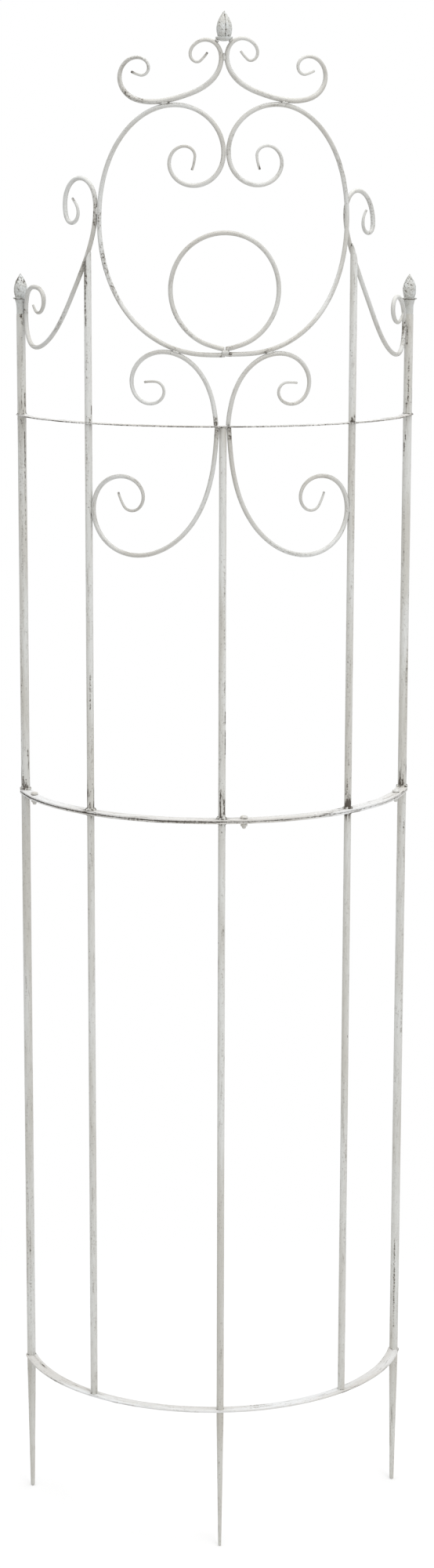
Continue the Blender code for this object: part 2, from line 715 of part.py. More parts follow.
def bolt_and_nut(place_name, angle):
    """A domed bolt down through both joint hoops, with a hexagon nut under them."""
    s = PANEL_RADIUS * angle
    head_z = UPPER_FEET_Z
    nut_z = LOWER_JOINT_Z - CLEARANCE - NUT_HEIGHT
    shank = head_z - nut_z + BOLT_END_LENGTH
    edge = BOLT_HEAD_EDGE_SHARE * BOLT_HEAD_HEIGHT
    profile = []
    for i in range(DOME_STEPS + 1):
        turn = math.pi / 2 * i / DOME_STEPS
        profile.append((BOLT_HEAD_RADIUS * math.sin(turn), edge + (BOLT_HEAD_HEIGHT - edge) * math.cos(turn)))
    profile += [
        (BOLT_HEAD_RADIUS, 0.0),
        (BOLT_RADIUS, 0.0),
        (BOLT_RADIUS, BOLT_END_CHAMFER - shank),
        (BOLT_RADIUS - BOLT_END_CHAMFER, -shank),
        (0.0, -shank),
    ]
    turned(f"bolt_{place_name}", profile, on_panel(s, head_z), bolt_paint())
    centre = on_panel(s, 0.0)
    corners = circle_points(centre, NUT_ACROSS_FLATS / math.sqrt(3), 6)
    hole = circle_points(centre, BOLT_RADIUS + CLEARANCE, HOLE_STEPS)
    flat_plate(f"nut_{place_name}", [corners, hole], nut_z, NUT_HEIGHT, bolt_paint())


def post_row(prefix, foot_z, length):
    """The five posts that stand side by side between two hoops."""
    post(f"{prefix}_post_centre", 0.0, foot_z, length, CENTRE_POST_RADIUS)
    for side_name, side in SIDES.items():
        post(f"{prefix}_post_inner_{side_name}", side * INNER_POST_S, foot_z, length, INNER_POST_RADIUS)
        post(f"{prefix}_post_outer_{side_name}", side * OUTER_POST_S, foot_z, length, OUTER_POST_RADIUS)


def lower_frame(bolt_angles):
    spike("spike_centre", 0.0, CENTRE_POST_RADIUS, CENTRE_SPIKE_TIP_RADIUS)
    for side_name, side in SIDES.items():
        spike(f"spike_{side_name}", side * OUTER_POST_S, OUTER_POST_RADIUS, OUTER_SPIKE_TIP_RADIUS)
    hoop("bottom_hoop", BOTTOM_HOOP_Z, HOOP_THICKNESS)
    post_row("lower", LOWER_FEET_Z, LOWER_POST_LENGTH)
    hoop("lower_joint_hoop", LOWER_JOINT_Z, HOOP_THICKNESS, bolt_angles)


def scrollwork():
    """The bent rods above and below the top hoop. Returns the paths that other pieces seat on."""
    lower = lower_scroll_path()
    arches, tops, side_paths = {}, {}, {}
    for side_name, side in SIDES.items():
        upper = upper_scroll_path(side_name)
        arch = arch_path(upper, side * ARCH_SHIFT)
        top = top_scroll_path(arch)
        rod(f"lower_scroll_{side_name}", lower, side, tapered_ends=("last",))
        rod(f"upper_scroll_{side_name}", upper, side, tapered_ends=("last",))
        rod(f"arch_{side_name}", arch, side, tapered_ends=("first",))
        rod(f"top_scroll_{side_name}", top, side, TOP_SCROLL_RADIUS, ("first", "last"))
        side_paths[side_name] = side_scroll_path(arch, side_name)
        rod(
            f"side_scroll_{side_name}",
            side_paths[side_name],
            side,
            tapered_ends=("first", "last"),
            taper=SIDE_SCROLL_TAPER_LENGTH,
            plan=drawn_in_radius(side_name),
        )
        arches[side_name], tops[side_name] = arch, top
    rod("centre_ring", ring_path(arches), 1)
    return tops, side_paths


def upper_frame(bolt_angles):
    hoop("upper_joint_hoop", UPPER_JOINT_Z, HOOP_THICKNESS, bolt_angles)
    post_row("upper", UPPER_FEET_Z, UPPER_POST_LENGTH)
    hoop("top_hoop", TOP_HOOP_Z, TOP_HOOP_THICKNESS)
    tops, side_paths = scrollwork()
    top_bud(tops)
    for side_name, side in SIDES.items():
        inner_post_top(side_name, side_paths[side_name])
        name = f"outer_post_top_{side_name}"
        post(name, side * OUTER_POST_S, ABOVE_TOP_HOOP_Z, OUTER_POST_TOP_LENGTH, OUTER_POST_RADIUS)
        side_bud(side_name)


def main():
    bolts = {"left": -SIDE_BOLT_ANGLE, "middle": MIDDLE_BOLT_ANGLE, "right": SIDE_BOLT_ANGLE}
    lower_frame(bolts.values())
    upper_frame(bolts.values())
    for place_name, angle in bolts.items():
        bolt_and_nut(place_name, angle)


clear_scene()
trellis = new_collection("garden_trellis")
main()
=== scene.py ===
# %% [markdown]
# # A half-round garden trellis in worn white paint
# The real trellis is welded from round steel rod and flat bar, in two frames that bolt together at waist
# height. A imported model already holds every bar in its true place. This lesson dresses it: each bar is made
# again with finer shapes, the welds and cast buds are added, and the paint is worn through where a real one
# wears. All lengths are in metres, unless a line says otherwise.

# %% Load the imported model
import math

import bmesh
import bpy
import numpy as np
from mathutils import Matrix, Vector, noise


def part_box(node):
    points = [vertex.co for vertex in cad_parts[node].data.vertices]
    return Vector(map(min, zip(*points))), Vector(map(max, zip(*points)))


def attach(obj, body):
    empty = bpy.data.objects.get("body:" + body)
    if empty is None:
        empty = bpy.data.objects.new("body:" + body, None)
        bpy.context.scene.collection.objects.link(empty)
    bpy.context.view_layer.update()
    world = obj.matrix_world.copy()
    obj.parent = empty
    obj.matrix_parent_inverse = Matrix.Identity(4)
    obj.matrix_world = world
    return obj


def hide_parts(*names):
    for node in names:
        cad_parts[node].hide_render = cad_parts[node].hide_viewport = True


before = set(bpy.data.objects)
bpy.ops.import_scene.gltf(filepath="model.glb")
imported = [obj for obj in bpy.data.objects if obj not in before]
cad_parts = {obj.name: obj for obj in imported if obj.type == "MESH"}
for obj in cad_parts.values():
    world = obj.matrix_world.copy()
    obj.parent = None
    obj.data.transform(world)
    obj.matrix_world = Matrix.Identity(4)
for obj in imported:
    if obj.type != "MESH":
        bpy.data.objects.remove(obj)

# Without a seed, the vector noise below would come out differently each time
noise.seed_set(1)
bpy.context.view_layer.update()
print("pieces in the packed model:", len(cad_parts))

# %% [markdown]
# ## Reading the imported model
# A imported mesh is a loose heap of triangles, so a copy is merged before anything is measured on it. Sizes
# that are read here never have to be typed in twice: if a post grows in the model, its painted bar grows
# with it.

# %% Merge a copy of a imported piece, and find the axis of the plan
SIDES = ("left", "right")
SAME_POINT = 0.00001


def merged(node):
    """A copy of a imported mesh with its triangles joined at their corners."""
    shape = bmesh.new()
    shape.from_mesh(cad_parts[node].data)
    bmesh.ops.remove_doubles(shape, verts=shape.verts[:], dist=SAME_POINT)
    return shape


def middle(node):
    low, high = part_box(node)
    return (low + high) / 2


centre_post = middle("lower_post_centre")
outer_post = middle("lower_post_outer_right")
back = outer_post.y - centre_post.y
PLAN_RADIUS = (outer_post.x ** 2 + back ** 2) / (2 * back)
PLAN_AXIS = Vector((0.0, centre_post.y + PLAN_RADIUS, 0.0))
print("plan radius", round(PLAN_RADIUS, 4), "axis at y", round(PLAN_AXIS.y, 4))

# %% [markdown]
# ## Handing a piece over
# Every finished mesh goes through one helper. It smooths the rounded faces, keeps sharp edges sharp, lets
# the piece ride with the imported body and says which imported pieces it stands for. Paint comes later, by
# slot.

# %% Make an object of a finished mesh
SMOOTH_BELOW = math.radians(38)
pieces = []


def hand_over(shape, name, slot, *stands_for):
    """Turns a bmesh into a piece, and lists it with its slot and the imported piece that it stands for."""
    mesh = bpy.data.meshes.new(name)
    bmesh.ops.recalc_face_normals(shape, faces=shape.faces[:])
    shape.to_mesh(mesh)
    shape.free()
    mesh.shade_smooth()
    mesh.set_sharp_from_angle(angle=SMOOTH_BELOW)
    piece = bpy.data.objects.new(name, mesh)
    bpy.context.scene.collection.objects.link(piece)
    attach(piece, "root")
    if stands_for:
        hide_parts(*stands_for)
    pieces.append((piece, slot, stands_for[0] if stands_for else ""))
    return piece


# %% [markdown]
# ## Straight bars
# Posts are cut from drawn round bar. A lathe makes the same shape: a short outline is spun once round the
# bar's own axis. The ends get a small rounded edge, and the side is cut into many rings, because the wear
# is stored on the rings later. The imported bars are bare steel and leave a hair's gap wherever two bars
# touch. The thick paint fills it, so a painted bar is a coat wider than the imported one.

# %% Measure a bar and spin it
BAR_FACES = 36
RING_GAP = 0.003
EDGE = 0.0005
COAT = 0.0003
NECK = 0.011
SAME_LEVEL = 0.00002
SEAM = 0.000005


def ring_at(node, height):
    """Middle and radius of a bar's ring of corners at a height."""
    corners = [v.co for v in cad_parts[node].data.vertices if abs(v.co.z - height) < SAME_LEVEL]
    xs = [c.x for c in corners]
    ys = [c.y for c in corners]
    return Vector(((min(xs) + max(xs)) / 2, (min(ys) + max(ys)) / 2, height)), (max(xs) - min(xs)) / 2


def painted_ring(node):
    """Middle and radius of a bar's top, with a coat of paint on it."""
    centre, radius = ring_at(node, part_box(node)[1].z)
    return centre, radius + COAT


def spun(shape, outline, centre, faces=BAR_FACES):
    """Spins (radius, height) points, which start and end on the axis, once round an upright axis."""
    points = [shape.verts.new((centre.x + radius, centre.y, height)) for radius, height in outline]
    lines = [shape.edges.new(pair) for pair in zip(points, points[1:])]
    bmesh.ops.spin(
        shape,
        geom=points + lines,
        cent=centre,
        axis=(0.0, 0.0, 1.0),
        angle=math.tau,
        steps=faces,
        use_merge=True,
        use_duplicate=False,
    )
    bmesh.ops.remove_doubles(shape, verts=shape.verts[:], dist=SEAM)


def bar_side(bottom, top, low_radius, high_radius):
    """The side of a bar from top to bottom, in rings."""
    rings = max(2, round((top - bottom) / RING_GAP))
    shares = [i / rings for i in range(rings + 1)]
    return [(high_radius + (low_radius - high_radius) * t, top + (bottom - top) * t) for t in shares]


def straight_bar(node, cut=0.0):
    """The bar of a packed post, with its top lowered by the length of a casting's neck."""
    low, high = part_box(node)
    centre, radius = painted_ring(node)
    high.z -= cut
    shape = bmesh.new()
    side = bar_side(low.z + EDGE, high.z - EDGE, radius, radius)
    outline = [(0.0, high.z), (radius - EDGE, high.z), *side, (radius - EDGE, low.z), (0.0, low.z)]
    spun(shape, outline, centre)
    return hand_over(shape, f"{node}_bar", "post_paint", node)


post_nodes = [f"{row}_post_centre" for row in ("lower", "upper")]
for side in SIDES:
    post_nodes += [f"lower_post_inner_{side}", f"lower_post_outer_{side}"]
    post_nodes += [f"upper_post_inner_{side}", f"upper_post_outer_{side}", f"outer_post_top_{side}"]
for node in post_nodes:
    straight_bar(node, NECK if node.startswith("outer_post_top") else 0.0)
print("straight bars:", len(post_nodes))

# %% [markdown]
# ## Spikes
# The three feet are the same bar, drawn down under the hammer to a blunt point. The taper starts a little
# below the hoop, and a smith's taper is never quite even, so the radius swells and shrinks by a hair along
# it.

# %% Spin the spikes
SHOULDER = 0.012
TAPER_END = 1.25
HAMMERED = 0.02
# The blunt point, outward and up, in shares of the tip's radius
POINT = ((1.15, 0.5), (0.9, 0.12), (0.5, 0.0), (0.0, 0.0))


def spike(node):
    low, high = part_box(node)
    centre, radius = painted_ring(node)
    tip = ring_at(node, low.z)[1]
    shape = bmesh.new()
    outline = [(0.0, high.z), (radius - EDGE, high.z)]
    outline += bar_side(high.z - SHOULDER, high.z - EDGE, radius, radius)
    for ring_radius, height in bar_side(low.z + tip, high.z - SHOULDER, tip * TAPER_END, radius)[1:]:
        swell = 1 + HAMMERED * noise.noise(Vector((centre.x * 40, 1.5, height * 90)))
        outline.append((min(radius, ring_radius * swell), height))
    outline += [(tip * out, low.z + tip * up) for out, up in POINT]
    spun(shape, outline, centre)
    return hand_over(shape, f"{node}_point", "spike_paint", node)


for place in ("left", "right", "centre"):
    spike(f"spike_{place}")
print("spikes: 3, shoulder", SHOULDER, "m below the hoop")

# %% [markdown]
# ## Inner post tops
# Above the top hoop the two inner posts are short and cut on a slant, so that a side scroll can lie along
# the cut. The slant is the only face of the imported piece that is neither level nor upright, which is how it
# is found here. A plain bar is made too long and then cut off by that plane.

# %% Cut a bar on the slant
def slanted_cut(node):
    """A point on the slanted end of a packed bar, and the way that it faces."""
    shape = merged(node)
    slanted = [face for face in shape.faces if 0.1 < face.normal.z < 0.99]
    area = sum(face.calc_area() for face in slanted)
    point = sum((face.calc_center_median() * face.calc_area() for face in slanted), Vector()) / area
    facing = sum((face.normal * face.calc_area() for face in slanted), Vector()).normalized()
    shape.free()
    return point, facing


def cut_off(shape, point, facing):
    """Cuts a closed shape by a plane, drops what lies beyond it and closes the cut."""
    everything = shape.verts[:] + shape.edges[:] + shape.faces[:]
    bmesh.ops.bisect_plane(shape, geom=everything, plane_co=point, plane_no=facing, clear_outer=True)
    rim = [edge for edge in shape.edges if edge.is_boundary]
    if rim:
        bmesh.ops.edgenet_fill(shape, edges=rim)


def slanted_bar(node):
    low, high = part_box(node)
    centre, radius = painted_ring(f"upper_post_inner_{node.rsplit('_', 1)[1]}")
    top = high.z + 2 * radius
    shape = bmesh.new()
    side = bar_side(low.z + EDGE, top, radius, radius)
    spun(shape, [(0.0, top), *side, (radius - EDGE, low.z), (0.0, low.z)], centre)
    cut_off(shape, *slanted_cut(node))
    return hand_over(shape, f"{node}_bar", "post_paint", node)


for side in SIDES:
    slanted_bar(f"inner_post_top_{side}")
    print(side, "cut faces", [round(value, 2) for value in slanted_cut(f"inner_post_top_{side}")[1]])

# %% [markdown]
# ## Flat hoops
# The hoops are flat bar, rolled the flat way round a former. So one rectangle, the bar's section, is spun
# part of a turn round the axis of the plan. The upright corners at both ends are rounded first, so that
# none stands out past its post, and then the long edges, as rolled steel is. Each ring of the spin also
# remembers how far along the bar it is, because the paint's streaks run along the bar.

# %% Spin the hoops
HOOP_STEPS = 110
SIDE_LEVELS = (0.36, 0.5, 0.64)
CORNER = math.radians(60)
END_ROUNDING = 0.0052
HOOP_EDGES = {
    "bottom_hoop": 0.0005, "lower_joint_hoop": 0.0005, "upper_joint_hoop": 0.0005, "top_hoop": 0.0003,
}


def turn_and_reach(point):
    """How far round the plan's axis a point lies, in radians, and how far from it."""
    return math.atan2(point.x, PLAN_AXIS.y - point.y), math.hypot(point.x, point.y - PLAN_AXIS.y)


def hoop_section(node):
    """Inner and outer radius, bottom, top and end angle of a packed hoop."""
    angles, reach = zip(*(turn_and_reach(v.co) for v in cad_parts[node].data.vertices))
    low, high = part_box(node)
    return min(reach), max(reach), low.z, high.z, max(angles)


def end_corners(shape, end):
    """The upright edges at both ends of a flat bar."""
    found = []
    for edge in shape.edges:
        first, second = edge.verts
        upright = (first.co.xy - second.co.xy).length < SAME_POINT
        at_end = abs(abs(turn_and_reach(first.co)[0]) - end) < 0.0001
        if upright and at_end and edge.calc_face_angle() > CORNER:
            found.append(edge)
    return found


def round_off(shape, edges, radius, steps):
    bmesh.ops.bevel(
        shape,
        geom=edges,
        offset=radius,
        offset_type="OFFSET",
        segments=steps,
        profile=0.5,
        affect="EDGES",
        material=-1,
    )


def hoop(node, edge):
    inner, outer, bottom, top, end = hoop_section(node)
    inner = max(inner, PLAN_RADIUS - (outer - PLAN_RADIUS))
    shape = bmesh.new()
    side = [(outer, bottom + (top - bottom) * share) for share in SIDE_LEVELS]
    outline = [(inner, bottom), (outer, bottom), *side, (outer, top), (inner, top)]
    section = shape.faces.new([shape.verts.new((0.0, PLAN_AXIS.y - r, z)) for r, z in outline])
    turn = Matrix.Rotation(-end, 4, "Z")
    bmesh.ops.rotate(shape, verts=section.verts[:], cent=PLAN_AXIS, matrix=turn)
    bmesh.ops.spin(
        shape,
        geom=section.verts[:] + section.edges[:] + [section],
        cent=PLAN_AXIS,
        axis=(0.0, 0.0, 1.0),
        angle=2 * end,
        steps=HOOP_STEPS,
        use_merge=False,
    )
    bmesh.ops.recalc_face_normals(shape, faces=shape.faces[:])
    round_off(shape, end_corners(shape, end), END_ROUNDING, 5)
    round_off(shape, [e for e in shape.edges if e.is_manifold and e.calc_face_angle() > CORNER], edge, 2)
    place = shape.verts.layers.float_vector.new("place")
    for vert in shape.verts:
        angle, reach = turn_and_reach(vert.co)
        vert[place] = (reach - PLAN_RADIUS, vert.co.z, angle * PLAN_RADIUS)
    return hand_over(shape, f"{node}_flat_bar", "hoop_paint", node)


for node, edge in HOOP_EDGES.items():
    hoop(node, edge)
    print(node, "section", [round(value, 4) for value in hoop_section(node)])

# %% [markdown]
# ## Finding the middle of a bent rod
# The scrolls are one rod each, bent over a scroll iron. A packed scroll is a string of small rings. The rim
# of an end is the only place where two faces meet at a right angle, so the walk starts on one rim and steps
# from ring to ring. The average of a ring is a point on the rod's middle line, and its spread is the rod's
# radius.

# %% Walk a packed rod from ring to ring
RIM_ANGLE = math.radians(62)


def end_rim(shape):
    """The corners round one end of a packed rod."""
    sharp = [e for e in shape.edges if e.is_manifold and e.calc_face_angle() > RIM_ANGLE]
    rim = {sharp[0].verts[0]}
    grew = True
    while grew:
        more = {v for e in sharp for v in e.verts if rim & set(e.verts)} - rim
        rim |= more
        grew = bool(more)
    return rim


def measured_rod(node):
    """Points and radii along a rod's middle line. Sorted corners give the same average in each run."""
    shape = merged(node)
    ring = end_rim(shape)
    seen = set(ring)
    points, radii = [], []
    while ring:
        corners = np.array(sorted(tuple(v.co) for v in ring))
        centre = corners.mean(axis=0)
        points.append(centre)
        radii.append(np.linalg.norm(corners - centre, axis=1).mean())
        ring = {e.other_vert(v) for v in ring for e in v.link_edges} - seen
        seen |= ring
    shape.free()
    return np.array(points), np.array(radii)


ROD_KINDS = ("lower_scroll", "upper_scroll", "arch", "top_scroll", "side_scroll")
rod_nodes = ["centre_ring"] + [f"{kind}_{side}" for side in SIDES for kind in ROD_KINDS]
rods = {node: measured_rod(node) for node in rod_nodes}
for node, (points, radii) in rods.items():
    print(node, len(points), "rings, radius", round(radii.min(), 5), "to", round(radii.max(), 5))

# %% [markdown]
# ## A smooth line through the rings
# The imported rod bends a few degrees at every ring. A curve through the same points bends evenly: each point
# gets the direction of the circle through its neighbours, and between two points a cubic follows both
# directions. The line is then cut into even short steps.

# %% Ease a measured line
ROD_STEP = 0.0016


def eased_rod(node):
    """Even points, radii and distances along a smooth line through a measured rod."""
    points, radii = rods[node]
    gaps = np.linalg.norm(np.diff(points, axis=0), axis=1)
    along = np.concatenate([[0.0], np.cumsum(gaps)])
    slopes = np.diff(points, axis=0) / gaps[:, None]
    facing = np.empty_like(points)
    before, after = gaps[:-1, None], gaps[1:, None]
    facing[1:-1] = (slopes[:-1] * after + slopes[1:] * before) / (before + after)
    facing[0] = 2 * slopes[0] - facing[1]
    facing[-1] = 2 * slopes[-1] - facing[-2]
    stations = np.linspace(0.0, along[-1], max(2, round(along[-1] / ROD_STEP)))
    piece = np.clip(np.searchsorted(along, stations, side="right") - 1, 0, len(gaps) - 1)
    gap = gaps[piece][:, None]
    t = ((stations - along[piece]) / gaps[piece])[:, None]
    line = (1 + 2 * t) * (1 - t) ** 2 * points[piece] + t * (1 - t) ** 2 * gap * facing[piece]
    line += t * t * (3 - 2 * t) * points[piece + 1] + t * t * (t - 1) * gap * facing[piece + 1]
    return line, np.interp(stations, along, radii), stations


lines = {node: eased_rod(node) for node in rod_nodes}
print("longest rod:", round(max(line[2][-1] for line in lines.values()), 3), "m")

# %% [markdown]
# ## Sweeping the rods
# A ring of corners is made once at the start of the line, then drawn on step by step: extrude the open
# edge, and move the new ring to its station. The ring is turned only as much as the line turns, so the
# paint's streaks don't wind round the rod. The ends are rounded, as a cut and filed rod end is.

# %% Draw a ring along a line
ROD_FACES = 16
ROD_SWELL = 0.018
ROD_APART = 1.7
END_SETBACK = 0.45
# A rod end closes in steps: how far on and how wide, in shares of the rod's radius
END_STEPS = ((0.25, 0.92), (0.40, 0.72), (0.45, 0.40))


def ring_stations(line, radii):
    """For each point of a line, the matrix that puts a flat unit ring square across it."""
    facing = np.gradient(line, axis=0)
    facing /= np.linalg.norm(facing, axis=1)[:, None]
    across = Vector(facing[0]).orthogonal().normalized()
    stations = []
    for point, direction, radius in zip(line, facing, radii):
        ahead = Vector(direction)
        across = (across - across.project(ahead)).normalized()
        other = ahead.cross(across)
        columns = Matrix((across * radius, other * radius, ahead * radius)).transposed().to_4x4()
        stations.append(Matrix.Translation(Vector(point)) @ columns)
    return stations


def rounded_ends(line, radii):
    """Sets both ends back a little and adds closing steps. The stored line's start is set back with it."""
    for _ in range(2):
        line, radii = line[::-1], radii[::-1]
        ahead = (line[-1] - line[-2]) / np.linalg.norm(line[-1] - line[-2])
        line[-1] -= END_SETBACK * radii[-1] * ahead
        tip, full = line[-1].copy(), radii[-1]
        for reach, share in END_STEPS:
            line = np.vstack([line, tip + reach * full * ahead])
            radii = np.append(radii, share * full)
    along = np.concatenate([[0.0], np.cumsum(np.linalg.norm(np.diff(line, axis=0), axis=1))])
    return line, radii, along


def swept_rod(node, number):
    """One rod. Its stored place is far from every other rod's, so that no two are streaked alike."""
    line, radii, along = rounded_ends(*lines[node][:2])
    swell = [1 + ROD_SWELL * noise.noise(Vector((number * 7.1, 0.4, s * 60))) for s in along]
    radii = radii * np.minimum(1.0, np.array(swell))
    stations = ring_stations(line, radii)
    shape = bmesh.new()
    place = shape.verts.layers.float_vector.new("place")
    start = {"segments": ROD_FACES, "radius": 1.0, "cap_ends": True, "matrix": stations[0]}
    ring = bmesh.ops.create_circle(shape, **start)["verts"]
    edges = shape.edges[:]
    for step, station in enumerate(stations):
        if step:
            grown = bmesh.ops.extrude_edge_only(shape, edges=edges)["geom"]
            ring = [g for g in grown if isinstance(g, bmesh.types.BMVert)]
            edges = [g for g in grown if isinstance(g, bmesh.types.BMEdge) and set(g.verts) <= set(ring)]
            bmesh.ops.transform(shape, matrix=station @ stations[step - 1].inverted(), verts=ring)
        home = station.inverted()
        for vert in ring:
            around = home @ vert.co
            along_bar = along[step] + number * ROD_APART
            vert[place] = (around.x * radii[step], around.y * radii[step], along_bar)
    bmesh.ops.edgenet_fill(shape, edges=edges)
    return hand_over(shape, f"{node}_rod", "scroll_paint", node)


for number, node in enumerate(rod_nodes):
    piece = swept_rod(node, number)
    print(piece.name, len(piece.data.vertices), "corners")

# %% [markdown]
# ## Bolts and nuts
# Three bolts join the frames. A pan head is flat on top with a round shoulder, which is another spun
# outline. The nut starts as a hexagonal prism whose lower corners are chamfered by a cone, as a lathe
# chamfers bar.

# %% Spin the bolts and cut the nuts
BOLT_FACES = 32
HEAD_GAP = 0.0002
SHANK_TIP = 0.7
# The head from its top down, in shares of its half width and of its height
PAN_HEAD = ((0.0, 1.0), (0.55, 0.99), (0.76, 0.94), (0.90, 0.82), (0.98, 0.62), (1.0, 0.25), (0.97, 0.0))
# The lower end of the shank, outward and up, in shares of its radius
SHANK_END = ((1.0, 0.9), (0.93, 0.45), (0.72, 0.15), (0.4, 0.0), (0.0, 0.0))
CHAMFER_CUTS = 24
CHAMFER_LEVEL = 0.30
CHAMFER_REACH = 0.98
CHAMFER_SLOPE = -0.95


def bolt(node):
    low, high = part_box(node)
    head_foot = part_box("upper_joint_hoop")[1].z + HEAD_GAP
    tall = high.z - head_foot
    wide = (high.x - low.x) / 2
    shank = ring_at(node, low.z)[1] / SHANK_TIP
    outline = [(out * wide, head_foot + up * tall) for out, up in PAN_HEAD]
    outline.append((shank, head_foot))
    outline += [(out * shank, low.z + up * shank) for out, up in SHANK_END]
    shape = bmesh.new()
    spun(shape, outline, middle(node), BOLT_FACES)
    return hand_over(shape, f"{node}_pan_head", "bolt_paint", node)


def nut(node):
    low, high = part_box(node)
    centre = middle(node)
    wide = (high.x - low.x) / 2
    tall = high.z - low.z
    shape = bmesh.new()
    place = Matrix.Translation(centre)
    prism = {"segments": 6, "radius1": wide, "radius2": wide, "depth": tall}
    bmesh.ops.create_cone(shape, cap_ends=True, matrix=place, **prism)
    level = Vector((centre.x, centre.y, low.z + CHAMFER_LEVEL * tall))
    for step in range(CHAMFER_CUTS):
        angle = math.tau * step / CHAMFER_CUTS
        outward = Vector((math.cos(angle), math.sin(angle), 0.0))
        facing = (outward + Vector((0.0, 0.0, CHAMFER_SLOPE))).normalized()
        cut_off(shape, level + outward * wide * CHAMFER_REACH, facing)
    bmesh.ops.remove_doubles(shape, verts=shape.verts[:], dist=2 * SAME_POINT)
    return hand_over(shape, f"{node}_hexagon", "bolt_paint", node)


for place_name in ("left", "middle", "right"):
    bolt(f"bolt_{place_name}")
    nut(f"nut_{place_name}")
    print("bolt", place_name, "at", [round(value, 4) for value in middle(f"bolt_{place_name}")])

# %% [markdown]
# ## Cups under the buds
# Each bud sits on a small cast cup. The outer ones are collars with a thin rim, under which painted shade
# shows as a dark line from the side, and with a neck that closes round the end of the post. They are spun
# like the bars, and their corners are then moved by a hair, because castings aren't true.

# %% Spin the cups
CUP_FACES = 40
CUP_PLAY = 0.0001
CUP_ROUGHNESS = 0.00015
CUP_GRAIN = 400.0
NECK_REACH = NECK + 0.0005
# From the top down, in shares of the half width and of the height
TOP_CUP = (
    (0.0, 0.80), (0.60, 0.80), (0.86, 0.86), (0.93, 0.97), (0.985, 0.96), (1.0, 0.84), (0.97, 0.72),
    (0.90, 0.58), (0.76, 0.38), (0.55, 0.16), (0.34, 0.04), (0.18, 0.0), (0.0, 0.0),
)
COLLAR = (
    (0.0, 0.97), (0.70, 0.97), (0.94, 1.0), (1.0, 0.95), (1.0, 0.86), (0.94, 0.80), (0.80, 0.78),
    (0.74, 0.70), (0.74, 0.60), (0.70, 0.42), (0.65, 0.22), (0.605, 0.05),
)
# Below the collar, in shares of the post's radius and of the neck's reach downward
NECK_OUTLINE = ((0.98, 0.18), (0.95, 0.45), (0.94, 1.0), (0.0, 1.0))


def uneven(shape, amount, fineness, seed):
    """Moves every corner a little, by smooth noise."""
    for vert in shape.verts:
        where = vert.co * fineness + Vector((seed, seed, seed))
        vert.co += amount * noise.noise_vector(where)


def cup(node, outline_shares, neck=()):
    low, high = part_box(node)
    centre = middle(node)
    wide = (high.x - low.x) / 2 - CUP_PLAY
    outline = [(r * wide, low.z + z * (high.z - low.z)) for r, z in outline_shares]
    outline += [(r, low.z - drop) for r, drop in neck]
    shape = bmesh.new()
    spun(shape, outline, centre, CUP_FACES)
    uneven(shape, CUP_ROUGHNESS, CUP_GRAIN, centre.x * 90)
    return hand_over(shape, f"{node}_casting", "bud_paint", node)


cup("top_cup", TOP_CUP)
for side in SIDES:
    post_radius = painted_ring(f"upper_post_outer_{side}")[1]
    neck = [(out * post_radius, down * NECK_REACH) for out, down in NECK_OUTLINE]
    cup(f"collar_{side}", COLLAR, neck)
print("cups: 3")

# %% [markdown]
# ## Cast buds
# The buds are iron castings: closed leaves that overlap and meet in deep creases, with fine veins and a few
# knobs. A ball is the start. Its corners are first drawn to the bud's profile and then lifted by the leaf
# that covers them. Where two leaves meet, neither lifts the surface, and the crease appears by itself. How
# deep a corner lies is kept as well, and the paint turns it into painted shade in the creases, veins and
# pits.

# %% Sculpt a bud from a ball
BUD_ROUND = 132
BUD_RINGS = 96
BASE_SHARE = 0.92
CORE = 0.83
OPEN_CREASE = 0.55
VEINS = 26
BUD_ROUGHNESS = 0.00012
BUD_GRAIN = 700.0
BUD_SEAM = 0.000002


def bud_profile(share, base, belly_share):
    """Radius of the bare core, as a share of the belly's, from its base to its tip."""
    if share < belly_share:
        return base + (1 - base) * math.sin(math.pi / 2 * share / belly_share)
    closing = (share - belly_share) / (1 - belly_share)
    return max(0.05, math.cos(math.pi / 2 * closing) ** 0.92)


def leaf_lift(leaf, angle, share):
    """How far a leaf has risen, from 0 at its edge to 1 in its middle, and the offset from its middle."""
    facing, half_width, top, lean = leaf
    if share >= top:
        return None
    narrowing = (1 - (share / top) ** 2.6) ** 0.55
    offset = (angle - facing - lean * share + math.pi) % math.tau - math.pi
    across = offset / (half_width * max(0.02, narrowing))
    if abs(across) >= 1:
        return None
    return math.sqrt(1 - across * across), offset


def highest_leaf(leaves, angle, share, vein_depth):
    """How far the leaf on top lifts a corner, how deep its crease is there, and how deep its vein."""
    best, crease, vein = 0.0, OPEN_CREASE, 0.0
    for height, leaf in leaves:
        found = leaf_lift(leaf, angle, share)
        if found is None:
            continue
        dome, offset = found
        groove = abs(math.sin(VEINS * share + 9 * abs(offset))) ** 5
        lifted = height * (0.45 + 0.55 * dome) * min(1.0, dome * 3.2) - vein_depth * groove * dome
        if lifted > best:
            best, crease, vein = lifted, max(0.0, 1 - dome * 2.4), groove * dome
    return best, crease, vein


